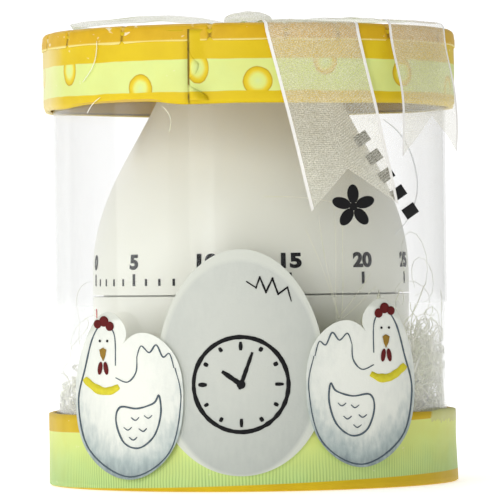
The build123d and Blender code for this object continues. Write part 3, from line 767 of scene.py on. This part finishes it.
# ---- Marks on the egg ----
def shell_point(node, bearing, height, lift):
    """The point on a shell at a bearing and height in millimetres, and a lift off it."""
    far = at_bearing(60.0, bearing, height) * MM
    inwards = Vector((-sin(bearing), cos(bearing), 0))
    hit, place, normal, _ = node.ray_cast(far, inwards)
    if not hit:
        raise ValueError(f"no shell at {height}")
    return (place + normal * lift * MM) / MM


def shell_mark(name, node, outline, bearing, material):
    """A thin printed mark from flat points (along, height, lift) wrapped on a shell."""
    points = []
    for along, height, lift in outline[0]:
        radius = hypot(*shell_point(node, bearing, height, 0.0).xy)
        points.append(shell_point(node, bearing + along / radius, height, lift))
    return add_mesh(name, points, outline[1], material)


def bar_outline(width, low, high, lift=0.05):
    """A thin upright bar, as points and faces."""
    steps = 4
    points = []
    for step in range(steps + 1):
        height = low + (high - low) * step / steps
        points += [(width * side, height, lift) for side in (-0.5, 0.5)]
    faces = [(first, first + 1, first + 3, first + 2) for first in range(0, 2 * steps, 2)]
    return points, faces


def numeral_outline(text, size, base):
    """A numeral as flat points and faces, centred on its place."""
    curve = bpy.data.curves.new("numeral", "FONT")
    curve.body = text
    curve.size = size
    curve.align_x = "CENTER"
    curve.offset = 0.045 * size
    curve.resolution_u = 6
    holder = bpy.data.objects.new("numeral", curve)
    bpy.context.scene.collection.objects.link(holder)
    bpy.context.view_layer.update()
    mesh = bpy.data.meshes.new_from_object(holder)
    shape = bmesh.new()
    shape.from_mesh(mesh)
    bmesh.ops.triangulate(shape, faces=shape.faces)
    bmesh.ops.subdivide_edges(shape, edges=shape.edges, cuts=1, use_grid_fill=True)
    shape.to_mesh(mesh)
    shape.free()
    points = [(1.18 * v.co.x, base + 0.9 * v.co.y, 0.06) for v in mesh.vertices]
    faces = [tuple(face.vertices) for face in mesh.polygons]
    bpy.data.objects.remove(holder)
    bpy.data.meshes.remove(mesh)
    bpy.data.curves.remove(curve)
    return points, faces


MINUTE = radians(6)
ZERO_BEARING = radians(-76.2)
TICK_LOW, MAJOR_HIGH, MINOR_HIGH = SEAM_Z + 1.7, SEAM_Z + 3.9, SEAM_Z + 3.0
NUMERAL_BASE, NUMERAL_SIZE = SEAM_Z + 4.9, 4.0


def dial_marks():
    """Numerals every five minutes, a long tick under each and short ticks up to ten."""
    dial = nodes["dial_shell"]
    for minute in range(0, 60, 5):
        bearing = ZERO_BEARING + minute * MINUTE
        numeral = numeral_outline(str(minute), NUMERAL_SIZE, NUMERAL_BASE)
        shell_print(shell_mark(f"numeral_{minute:02d}", dial, numeral, bearing, BLACK_INK), "dial")
        bar = bar_outline(0.66, TICK_LOW, MAJOR_HIGH)
        shell_print(shell_mark(f"tick_{minute:02d}", dial, bar, bearing, BLACK_INK), "dial")
    for minute in [m for m in range(1, 10) if m % 5]:
        bearing = ZERO_BEARING + minute * MINUTE
        bar = bar_outline(0.5, TICK_LOW, MINOR_HIGH)
        shell_print(shell_mark(f"tick_{minute:02d}", dial, bar, bearing, BLACK_INK), "dial")
    lower = nodes["lower_shell"]
    index = bar_outline(0.7, SEAM_Z - 4.6, SEAM_Z - 2.6)
    shell_print(shell_mark("red_index", lower, index, ZERO_BEARING, RED_INK), "timer")


def shell_print(piece, body):
    """Thicken a printed mark into the shell's surface and let it ride on its body."""
    thicken(piece, 0.08, 0.0)
    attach(piece, body)
    return piece


# ---- Painting on the cards ----
CARD_LIFT = 0.05


def on_card(x, z, radius):
    """A point on a curved card, from its front view."""
    return Vector((x, -sqrt(radius**2 - x**2), z))


def brush_line(name, path, width, radius, material, closed=False):
    """A brush line on a curved card, swelling and thinning along its way."""
    path = [Vector(p) for p in path]
    fine = []
    count = len(path)
    for step in range(count if closed else count - 1):
        before, here = path[(step - 1) % count], path[step]
        there, after = path[(step + 1) % count], path[(step + 2) % count]
        if not closed and step == 0:
            before = here
        if not closed and step == count - 2:
            after = there
        for part in range(8):
            t = part / 8
            fine.append(
                0.5
                * (
                    2 * here
                    + (there - before) * t
                    + (2 * before - 5 * here + 4 * there - after) * t**2
                    + (3 * here - before - 3 * there + after) * t**3
                )
            )
    if not closed:
        fine.append(path[-1])
    rows = []
    last = len(fine) - 1
    for step, point in enumerate(fine):
        ahead = fine[(step + 1) % len(fine)] if closed else fine[min(step + 1, last)]
        behind = fine[step - 1] if closed else fine[max(step - 1, 0)]
        run = (ahead - behind).normalized()
        side = Vector((-run.y, run.x))
        swell = 1 + 0.3 * wobble(point.x * 0.9, point.y * 0.9, width)
        if not closed:
            swell *= 0.35 + 0.65 * sin(pi * min(1.0, 0.12 + 0.76 * step / last))
        edges = [point + side * width / 2 * swell * way for way in (-1, 0, 1)]
        rows.append([on_card(p.x, p.y, radius + CARD_LIFT) for p in edges])
    return thicken(add_grid(name, rows, material, closed=closed), 0.06, 0.0)


def brush_blob(name, centre, outline, radius, material):
    """A filled spot on a curved card, from points round its centre."""
    middle = Vector(centre)
    rim = [Vector(p) for p in outline]
    count, rings = len(rim), 4
    points = [on_card(middle.x, middle.y, radius + 2 * CARD_LIFT)]
    for ring in range(1, rings + 1):
        for point in rim:
            spot = middle + (point - middle) * ring / rings
            points.append(on_card(spot.x, spot.y, radius + 2 * CARD_LIFT))
    faces = [(0, 1 + (step + 1) % count, 1 + step) for step in range(count)]
    for ring in range(rings - 1):
        for step in range(count):
            near, far, beside = 1 + ring * count, 1 + (ring + 1) * count, (step + 1) % count
            faces.append((near + step, near + beside, far + beside, far + step))
    return thicken(add_mesh(name, points, faces, material), 0.06, 0.0)


def oval(x, z, half_width, half_height, turn=0.0, count=28):
    """Points round an oval turned by an angle in degrees."""
    lean = radians(turn)
    points = []
    for step in range(count):
        a = 2 * pi * step / count
        u, v = half_width * cos(a), half_height * sin(a)
        points.append((x + u * cos(lean) - v * sin(lean), z + u * sin(lean) + v * cos(lean)))
    return points


class CardArt:
    """The pieces painted on one curved face, their names begun alike."""

    def __init__(self, prefix, face):
        self.prefix, self.face, self.pieces = prefix, face, []

    def line(self, name, path, width, ink, closed=False):
        self.pieces.append(brush_line(self.prefix + name, path, width, self.face, ink, closed))

    def blob(self, name, centre, outline, ink):
        self.pieces.append(brush_blob(self.prefix + name, centre, outline, self.face, ink))


EGG_FACE = -CARD_LOW.y


def egg_card_art():
    """A zigzag crack and a plain clock face."""
    art = CardArt("card_", EGG_FACE)
    crack = [(-0.9, 38.2), (0.9, 37.0), (1.6, 38.9), (2.7, 36.2), (3.9, 38.6), (4.9, 35.8)]
    crack += [(6.6, 37.0), (7.3, 34.4)]
    dense = []
    for (x0, z0), (x1, z1) in zip(crack, crack[1:]):
        for part in (0.02, 0.5, 0.98):
            dense.append((x0 + (x1 - x0) * part, z0 + (z1 - z0) * part))
    art.line("crack_line", dense, 0.34, BLACK_INK)
    clock_x, clock_z, clock_radius = CARD_X, 19.5, 8.6

    def spoke(turn, *reaches):
        return [(clock_x + reach * sin(turn), clock_z + reach * cos(turn)) for reach in reaches]

    ring = oval(clock_x, clock_z, clock_radius, clock_radius)
    art.line("clock_ring", ring, 0.75, BLACK_INK, True)
    for hour in range(12):
        turn = radians(30 * hour)
        inner = clock_radius * (0.72 if hour % 3 == 0 else 0.8)
        outer = clock_radius * 0.9
        ends = spoke(turn, inner, (inner + outer) / 2, outer)
        art.line(f"clock_tick_{hour:02d}", ends, 0.7, BLACK_INK)
    for name, turn, reach, width in (("hour", -55, 4.2, 1.0), ("minute", 20, 6.2, 0.75)):
        lean = radians(turn)
        hand = spoke(lean, -0.15 * reach, 0.4 * reach, reach)
        art.line(f"clock_{name}_hand", hand, width, BLACK_INK)
    hub = oval(clock_x, clock_z, 0.8, 0.8)
    art.blob("clock_hub", (clock_x, clock_z), hub, BLACK_INK)
    return art.pieces


def hen_art(side, word):
    """One plainly drawn hen on its card: outline, wing, tail, comb, beak, eye and collar."""
    middle, base, face = hen_place(word)
    art = CardArt(f"{word}_hen_", face)

    def spot(along, up):
        return (middle + side * along, base + up)

    def curve(*pairs):
        return [spot(*pair) for pair in pairs]

    def dot(name, along, up, half_width, half_height, ink, turn=0.0, count=28):
        x, z = spot(along, up)
        art.blob(name, (x, z), oval(x, z, half_width, half_height, side * turn, count), ink)

    body = curve(
        (2.4, 20.8), (2.6, 26.6), (4.7, 28.4), (6.6, 26.0), (8.1, 20.5), (9.5, 13.6),
        (7.4, 5.1), (0.0, 0.5), (-7.3, 4.9), (-9.6, 14.4), (-8.6, 20.4),
    )
    art.line("outline", body, 0.27, LINE_INK)
    tail = curve(
        (-8.4, 20.4), (-7.6, 23.0), (-6.4, 22.4), (-5.2, 24.6), (-3.9, 23.2), (-2.4, 24.4), (-1.6, 22.4)
    )
    art.line("tail", tail, 0.25, LINE_INK)
    back = curve((-1.6, 22.4), (-1.4, 19.6), (0.2, 17.8), (2.4, 18.6))
    art.line("back", back, 0.24, LINE_INK)
    wing = curve(
        (-5.6, 15.4), (-4.6, 14.0), (-1.6, 13.0), (1.6, 13.2), (2.4, 10.6),
        (1.0, 6.8), (-1.8, 5.8), (-4.6, 8.0), (-5.9, 12.0),
    )
    art.line("wing", wing, 0.3, LINE_INK, True)
    for number, (along, up) in enumerate(((-3.6, 11.6), (-1.2, 11.2), (-2.6, 9.2), (0.2, 9.4), (-0.8, 7.6))):
        quill = curve((along - 0.7, up + 0.2), (along, up - 0.35), (along + 0.8, up + 0.15))
        art.line(f"quill_{number}", quill, 0.22, LINE_INK)
    for number, (along, up, size) in enumerate(((3.4, 28.0, 0.75), (4.5, 28.9, 0.85), (5.7, 28.4, 0.7))):
        dot(f"comb_{number}", along, up, size, size * 1.15, COMB_INK)
    beak = curve((4.1, 23.7), (4.7, 24.1), (5.4, 23.7), (5.2, 22.6), (4.7, 21.6), (4.3, 22.6))
    art.blob("beak", spot(4.7, 22.9), beak, BEAK_INK)
    for number, (along, turn) in enumerate(((4.2, -8.0), (5.3, 8.0))):
        dot(f"wattle_{number}", along, 20.3, 0.42, 1.2, COMB_INK, turn)
    for number, along in enumerate((3.9, 5.3)):
        dot(f"eye_{number}", along, 25.3, 0.2, 0.24, BLACK_INK, count=12)
    collar = curve((1.8, 17.0), (3.4, 16.2), (5.2, 16.2), (7.0, 17.2), (8.3, 18.4))
    art.line("collar", collar, 1.5, COLLAR_INK)
    return art.pieces


# ---- Clear sticker on the tube ----
STICKER_FACE = TUBE_RADIUS + 0.1


def sticker_art():
    """A clear egg-shaped sticker with a plain stencilled flower and a row of blocks."""
    edge = [(24.6, 67.6), (27.2, 65.6), (29.2, 62.8), (30.6, 59.0), (31.0, 54.6), (29.6, 50.0), (26.6, 46.4)]
    art = CardArt("sticker_", STICKER_FACE)
    art.line("edge", edge, 0.16, CLEAR_EDGE)
    flower = Vector((18.9, 51.6))
    for petal in range(5):
        turn = radians(72 * petal + 20)
        place = flower + 2.3 * Vector((cos(turn), sin(turn)))
        outline = oval(place.x, place.y, 1.75, 1.05, degrees(turn))
        art.blob(f"petal_{petal}", place, outline, BLACK_INK)
    heart = oval(flower.x, flower.y, 0.75, 0.75)
    art.blob("flower_heart", flower, heart, BLACK_INK)
    first, last = Vector((20.6, 64.0)), Vector((29.6, 50.8))
    along = (last - first).normalized()
    across = Vector((-along.y, along.x))
    for block in range(5):
        place = first.lerp(last, block / 4)
        corners = [
            place + along * 1.05 * a + across * 1.35 * b
            for a, b in ((-1, -1), (0, -1), (1, -1), (1, 0), (1, 1), (0, 1), (-1, 1), (-1, 0))
        ]
        art.blob(f"block_{block}", place, corners, BLACK_INK)
    return art.pieces


# ---- Shredded nest ----
def egg_clearance(height):
    """The radius that the nest keeps outside of: the egg's lower half and a little more."""
    share = (height - 3.6) / (SEAM_Z - 3.6)
    return 16.5 + 14.1 * sqrt(max(0.0, 1 - (1 - min(1.0, share)) ** 2)) ** 1.15 + 1.2


def curl(start, heading, length, bend, steps):
    """A wandering curl that starts at a point and keeps inside the tube."""
    path = [start]
    turn = heading.normalized()
    twist = Vector((random.uniform(-1, 1), random.uniform(-1, 1), random.uniform(-1, 1)))
    for _ in range(steps):
        twist = (twist + 0.6 * Vector([random.uniform(-1, 1) for _ in range(3)])).normalized()
        turn = (turn + bend * twist.cross(turn)).normalized()
        point = path[-1] + turn * (length / steps)
        reach = hypot(point.x, point.y)
        limit = NEST_RADIUS - 0.2
        inner = min(egg_clearance(point.z), limit - 0.5)
        if reach > limit:
            point.x, point.y = point.x * limit / reach, point.y * limit / reach
            turn = (turn - 0.6 * Vector((point.x, point.y, 0)).normalized()).normalized()
        elif reach < inner and point.z > 3.0:
            point.x, point.y = point.x * inner / reach, point.y * inner / reach
        if point.z < NEST_LOW.z + 0.2:
            point.z = NEST_LOW.z + 0.2
            turn.z = abs(turn.z)
        path.append(point)
    return path


# How many strips the tangle has, how many wisps the right side and the whole ring have, and the
# bearing where the nest is fullest
STRIPS, RIGHT_WISPS, LOOSE_WISPS = 1250, 150, 36
FULLEST = radians(62)
# (middle x, middle z, half width, half height) of the long loose curls on the right
LONG_CURLS = ((30.4, 41.0, 2.6, 6.0), (32.0, 38.0, 2.2, 4.2), (30.0, 34.5, 3.4, 3.4))
# (lean, rise) of each thread that fans out from one root in front of the egg
FAN_THREADS = ((-6.2, 17.0), (-3.4, 19.5), (-1.2, 20.5), (1.4, 18.0), (5.6, 8.5), (7.5, 6.0))
FAN_RADIUS = 35.2


def nest():
    """A tangle of thin curls round the foot of the egg, fuller and taller on the right."""
    random.seed(11)
    tangle = Strands()
    for _ in range(STRIPS):
        bearing = random.uniform(-pi, pi)
        right = max(0.0, cos(bearing - FULLEST))
        top = 19.0 + 6.0 * right
        height = NEST_LOW.z + 0.3 + (top - NEST_LOW.z) * random.random() ** 0.8
        inner = egg_clearance(height)
        radius = inner + (NEST_RADIUS - 0.4 - inner) * random.random() ** 0.6
        start = at_bearing(radius, bearing, height)
        heading = Vector((cos(bearing), sin(bearing), random.uniform(-0.35, 0.5))) * random.choice((-1, 1))
        path = curl(start, heading, random.uniform(7.0, 18.0), 0.75, 12)
        tangle.add(path, random.uniform(0.5, 0.9 + 0.4 * right), 0.1)
    body = tangle.finish("nest_tangle", STRAW)
    wisps = Strands()
    for _ in range(RIGHT_WISPS):
        bearing = radians(random.gauss(64, 15))
        start = at_bearing(random.uniform(33.0, NEST_RADIUS - 0.3), bearing, random.uniform(19.0, 28.0))
        heading = Vector((random.uniform(-0.6, 0.6), random.uniform(-0.6, 0.6), 1.0))
        wisps.add(curl(start, heading, random.uniform(8.0, 17.0), 0.75, 12), 0.26, 0.12)
    for _ in range(LOOSE_WISPS):
        bearing = random.uniform(-pi, pi)
        start = at_bearing(random.uniform(33.5, NEST_RADIUS - 0.3), bearing, random.uniform(17.0, 24.0))
        heading = Vector((random.uniform(-0.5, 0.5), random.uniform(-0.5, 0.5), 1.0))
        wisps.add(curl(start, heading, random.uniform(8.0, 22.0), 0.35, 12), 0.16, 0.1)
    for middle_x, middle_z, half_width, half_height in LONG_CURLS:
        ring = [
            on_card(middle_x + half_width * sin(0.5 * step), middle_z - half_height * cos(0.46 * step), 35.9)
            for step in range(12)
        ]
        wisps.add(ring, 0.14, 0.1)
    root = on_card(16.0, 31.0, FAN_RADIUS)
    for lean, rise in FAN_THREADS:
        path = []
        for share in shares(12):
            x = root.x + lean * share + 0.5 * sin(3 * share + lean)
            path.append(on_card(x, root.z + rise * share, FAN_RADIUS + 0.6 * share))
        wisps.add(path, 0.17, 0.12)
    return [body, wisps.finish("nest_wisps", STRAW)]


def strand_between(strands, ends, radius, sag, width):
    """A thin strand from one front-view point to another, bowed by a sag, at a radius."""
    first, last = (Vector(end) for end in ends)
    across = Vector((first.y - last.y, last.x - first.x)).normalized()
    path = []
    for share in shares(12):
        spot = first.lerp(last, share) + across * sag * sin(pi * share)
        path.append(on_card(spot.x, spot.y, radius))
    strands.add(path, width, width, 4)


def stray_straws():
    """A few straws caught on the lid's side, and under its edge inside the tube."""
    outside, inside = Strands(), Strands()
    strand_between(outside, ((-27.8, 82.6), (-30.6, 75.2)), LID_RADIUS + 0.4, 0.9, 0.2)
    ends = (-27.3, LID_BOTTOM + 1.2), (-29.8, LID_BOTTOM - 1.6)
    strand_between(outside, ends, LID_RADIUS + 0.3, -0.3, 0.18)
    inner = TUBE_RADIUS - 1.2
    strand_between(inside, ((-15.9, LID_BOTTOM - 0.6), (-14.6, LID_BOTTOM - 5.4)), inner, 0.9, 0.22)
    strand_between(inside, ((2.0, 53.5), (22.0, 50.5)), inner, 1.0, 0.12)
    return outside.finish("stray_straw_lid", STRAW), inside.finish("stray_straws", STRAW)


# ---- Ribbon ----
RIBBON_HALF = LOOP_HIGH.y
EDGE_WIDTH = 0.6
EDGE_COLUMNS = 2
NOTCH_DEPTH = 6.5
ACROSS = (
    [-RIBBON_HALF, -RIBBON_HALF + EDGE_WIDTH / 2, -RIBBON_HALF + EDGE_WIDTH]
    + [-7.0 + 1.4 * step for step in range(11)]
    + [RIBBON_HALF - EDGE_WIDTH, RIBBON_HALF - EDGE_WIDTH / 2, RIBBON_HALF]
)


def ribbon_sheet(name, rows, lengths):
    """A woven strip with satin edges, and its weave laid out in millimetres."""
    strip = add_grid(name, rows, ORGANZA, SATIN)
    wide = len(ACROSS)
    weave = strip.data.uv_layers.new(name="weave")
    for face in strip.data.polygons:
        column = face.index % (wide - 1)
        if column < EDGE_COLUMNS or column >= wide - 1 - EDGE_COLUMNS:
            face.material_index = 1
        for corner, vertex in zip(face.loop_indices, face.vertices):
            weave.data[corner].uv = (ACROSS[vertex % wide], lengths[vertex // wide])
    return strip


def tail(name, bearing, drift, rise, end_z, phase, lift, stiff):
    """A tail out over the lid and down its side, with a notched end."""
    outside = LID_RADIUS + 0.5 + rise
    start, bend, top = 5.0, 1.6, LID_TOP + 0.35 + rise
    fall = top - bend - end_z
    over, round_edge = outside - bend - start, bend * pi / 2
    total = over + round_edge + fall
    out = Vector((sin(bearing), -cos(bearing)))
    beside = Vector((cos(bearing), sin(bearing)))
    rows, lengths = [], []
    for share in shares(90):
        row = []
        for across in ACROSS:
            outward = abs(across) / RIBBON_HALF
            notch = NOTCH_DEPTH * (1 - outward) - 1.2 * (across < 0) * outward
            run = share * (total - notch)
            hang = max(0.0, run - over - round_edge) / fall
            lateral = across * (1 - 0.25 * smooth_step(6.0, 0.0, run)) + drift * hang
            depth = sqrt(outside**2 - lateral**2)
            slack = outside - depth
            if run < over:
                reach = start + (depth - bend - start) * run / over
                bulge = 1.3 * sin(pi * run / over) ** 2 * (1 - 0.5 * outward)
                height = top + bulge + 0.35 * wobble(run / 5, across / 3, phase)
            elif run < over + round_edge:
                turn = (run - over) / bend
                reach = depth - bend + bend * sin(turn)
                height = top - bend + bend * cos(turn)
            else:
                ripple = 0.35 * wobble(across / 4, (run - over) / 9, phase)
                swing = lift * sin(0.75 * pi * min(1.0, hang)) ** 2
                reach = depth + ripple * hang + stiff * slack * smooth_step(0.0, 0.5, hang) + swing
                height = top - bend - (run - over - round_edge)
            plan = out * reach + beside * lateral
            row.append(Vector((plan.x, plan.y, height)))
        rows.append(row)
        lengths.append(share * total)
    strip = ribbon_sheet(name, rows, lengths)
    return strip


def loop():
    """A slack loop from the knot towards the left, lying over the lid's edge."""
    length = LOOP_HIGH.x - LOOP_LOW.x + 3.0
    rows, lengths = [], []
    run, last = 0.0, None
    for share in shares(90):
        turn = 2 * pi * share
        row = []
        for across in ACROSS:
            reach = (1 - cos(turn)) / 2
            x = LOOP_HIGH.x + 1.5 - length * reach
            plump = 0.75 + 0.45 * sin(pi * reach) - 0.25 * reach
            fat = sin(turn) * plump * (1 + 0.35 * wobble(x / 6, across / 5, 2.0))
            pinch = 1 - 0.35 * smooth_step(0.25, 0.0, reach)
            droop = 0.25 * wobble(x / 7, across / 4, 5.0)
            height = LOOP_LOW.z + 1.6 + 1.35 * fat + droop * reach
            row.append(Vector((x, across * pinch, max(LOOP_LOW.z + 0.25, height))))
        middle = row[len(row) // 2]
        if last is not None:
            run += (middle - last).length
        last = middle
        rows.append(row)
        lengths.append(run)
    strip = ribbon_sheet("organza_loop", rows, lengths)
    return strip


def knot():
    """The tied knot: a tight band of gathered ribbon over the ends."""
    centre = (KNOT_LOW + KNOT_HIGH) / 2
    size = KNOT_HIGH - KNOT_LOW
    rows = []
    around_steps, along_steps = 48, 28
    for step in range(around_steps):
        turn = 2 * pi * step / around_steps
        row = []
        for share in shares(along_steps):
            swell = 0.35 + 0.65 * sin(pi * share) ** 0.6
            crumple = wobble(3 * cos(turn), 3 * sin(turn), 5 * share)
            folds = 1 + 0.1 * sin(7 * turn + 3 * share) + 0.12 * crumple
            x = centre.x + size.x * 0.5 * (2 * share - 1)
            y = centre.y + size.y * 0.48 * swell * folds * cos(turn)
            z = KNOT_LOW.z + 0.2 + (size.z - 0.3) * 0.5 * (1 + swell * folds * sin(turn) * 0.85)
            row.append(Vector((x, y, max(KNOT_LOW.z + 0.15, min(KNOT_HIGH.z, z)))))
        rows.append(row)
    piece = add_grid("organza_knot", rows, ORGANZA, closed=True)
    weave = piece.data.uv_layers.new(name="weave")
    for face in piece.data.polygons:
        for corner, vertex in zip(face.loop_indices, face.vertices):
            weave.data[corner].uv = (vertex // (along_steps + 1) / 2, vertex % (along_steps + 1) / 2)
    return piece


# ---- Stage ----
# Each light's name, its place in metres, its power in watts and its size in metres
LIGHTS = (
    ("key_light", (-0.5, -0.96, 0.32), 3.9, (0.3, 0.8)),
    ("left_light", (-1.1, -0.5, 0.2), 3.3, (0.8, 1.0)),
    ("top_light", (-0.1, 0.1, 1.1), 3.0, (0.9, 0.9)),
    ("back_light", (-0.4, 1.1, 0.6), 4.0, (1.6, 1.8)),
)
FLOOR_HALF = 4000.0
# The floor's glow near the box, how much more it has far off, and where it starts and stops growing
NEAR_GLOW, MORE_GLOW, GLOW_REACH = 0.5, 0.3, (80.0, 500.0)
# The world's strength as light and behind the box, and the share of that white in reflections
SOFT_STRENGTH, WHITE_STRENGTH, WHITE_IN_GLOSS = 0.27, 1.12, 0.42


def backdrop_and_light():
    """A pale floor, a white background and soft light from the left and front."""
    floor = add_mesh(
        "studio_floor",
        [(FLOOR_HALF * x, FLOOR_HALF * y, -0.05) for x, y in ((-1, -1), (1, -1), (1, 1), (-1, 1))],
        [(0, 1, 2, 3)],
    )
    paint = Paint("studio_floor_paint")
    x, y, _ = paint.axes()
    reach = paint.length(x, y)
    glow = paint.scaled(paint.between(reach, *GLOW_REACH), MORE_GLOW, NEAR_GLOW)
    paint.set(
        Base_Color=paint.mix(paint.noise(300.0), "FAFAFA", "F6F6F6"),
        Roughness=0.6,
        Emission_Color=colour("FFFFFF"),
        Emission_Strength=glow,
    )
    floor.data.materials.append(paint.material)
    world = bpy.data.worlds.new("studio")
    world.use_nodes = True
    bpy.context.scene.world = world
    tree = world.node_tree
    soft = tree.nodes["Background"]
    soft.inputs["Color"].default_value = (1, 1, 1, 1)
    soft.inputs["Strength"].default_value = SOFT_STRENGTH
    white = tree.nodes.new("ShaderNodeBackground")
    white.inputs["Color"].default_value = (1, 1, 1, 1)
    white.inputs["Strength"].default_value = WHITE_STRENGTH
    either = tree.nodes.new("ShaderNodeMixShader")
    path = tree.nodes.new("ShaderNodeLightPath")
    seen = tree.nodes.new("ShaderNodeMath")
    seen.operation = "MULTIPLY_ADD"
    seen.use_clamp = True
    seen.inputs[1].default_value = WHITE_IN_GLOSS
    for source, socket in (
        (path.outputs["Is Glossy Ray"], seen.inputs[0]),
        (path.outputs["Is Camera Ray"], seen.inputs[2]),
        (seen.outputs[0], either.inputs[0]),
        (soft.outputs[0], either.inputs[1]),
        (white.outputs[0], either.inputs[2]),
        (either.outputs[0], tree.nodes["World Output"].inputs["Surface"]),
    ):
        tree.links.new(source, socket)
    for name, place, power, size in LIGHTS:
        light = bpy.data.lights.new(name, "AREA")
        light.energy = power
        light.shape = "RECTANGLE"
        light.size, light.size_y = size
        lamp = bpy.data.objects.new(name, light)
        lamp.location = place
        lamp.rotation_euler = (Vector((0, 0, 0.045)) - Vector(place)).to_track_quat("-Z", "Y").to_euler()
        bpy.context.scene.collection.objects.link(lamp)
    bpy.context.scene.view_settings.view_transform = "Standard"


# The view: its distance from the box's axis and its width there, the heights of the eye and of what it
# looks at, its roll in degrees, and its shift to one side
VIEW_DISTANCE, VIEW_WIDTH, EYE_Z, AIM_Z, ROLL, VIEW_X = 830.0, 95.0, 40.6, 44.0, 0.65, -0.1


def camera():
    eye = bpy.data.cameras.new("camera")
    eye.sensor_width = 36.0
    eye.lens = eye.sensor_width * VIEW_DISTANCE / VIEW_WIDTH
    eye.clip_end = 20.0
    holder = bpy.data.objects.new("camera", eye)
    place = Vector((VIEW_X, -VIEW_DISTANCE, EYE_Z)) * MM
    aim = Vector((VIEW_X, 0, AIM_Z)) * MM
    holder.location = place
    look = (aim - place).to_track_quat("-Z", "Y").to_matrix().to_4x4()
    holder.rotation_euler = (look @ Matrix.Rotation(radians(-ROLL), 4, "Z")).to_euler()
    bpy.context.scene.collection.objects.link(holder)
    bpy.context.scene.camera = holder


def build():
    """Make every piece and let it ride on its body."""
    paint_nodes()
    side, turned, base = lid_side_paper(), lid_fold_paper(), base_paper()
    for piece, body, node in ((side, "lid", "lid_wrap"), (base, "gift_box", "base_wrap")):
        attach(piece, body)
        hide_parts(node)
    for piece in (turned, lid_seam_flap()):
        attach(piece, "lid")
    dial_marks()
    for art in egg_card_art() + hen_art(1, "right") + hen_art(-1, "left"):
        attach(art, "gift_box")
    for art in sticker_art():
        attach(art, "gift_box")
    tangle, wisps = nest()
    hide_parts("shred_nest")
    for piece in (tangle, wisps):
        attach(piece, "gift_box")
    for piece, body in zip(stray_straws(), ("lid", "gift_box")):
        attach(piece, body)
    ribbons = (
        (tail("organza_tail_front", radians(17.6), 7.8, 0.0, 51.9, 1.0, 0.3, 0.3), "ribbon_tail_front"),
        (tail("organza_tail_side", radians(53), 1.6, 0.6, 61.8, 7.0, 1.3, 0.7), "ribbon_tail_side"),
        (loop(), "ribbon_loop"),
        (knot(), "ribbon_knot"),
    )
    for piece, node in ribbons:
        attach(piece, "lid")
        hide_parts(node)


backdrop_and_light()
camera()
build()
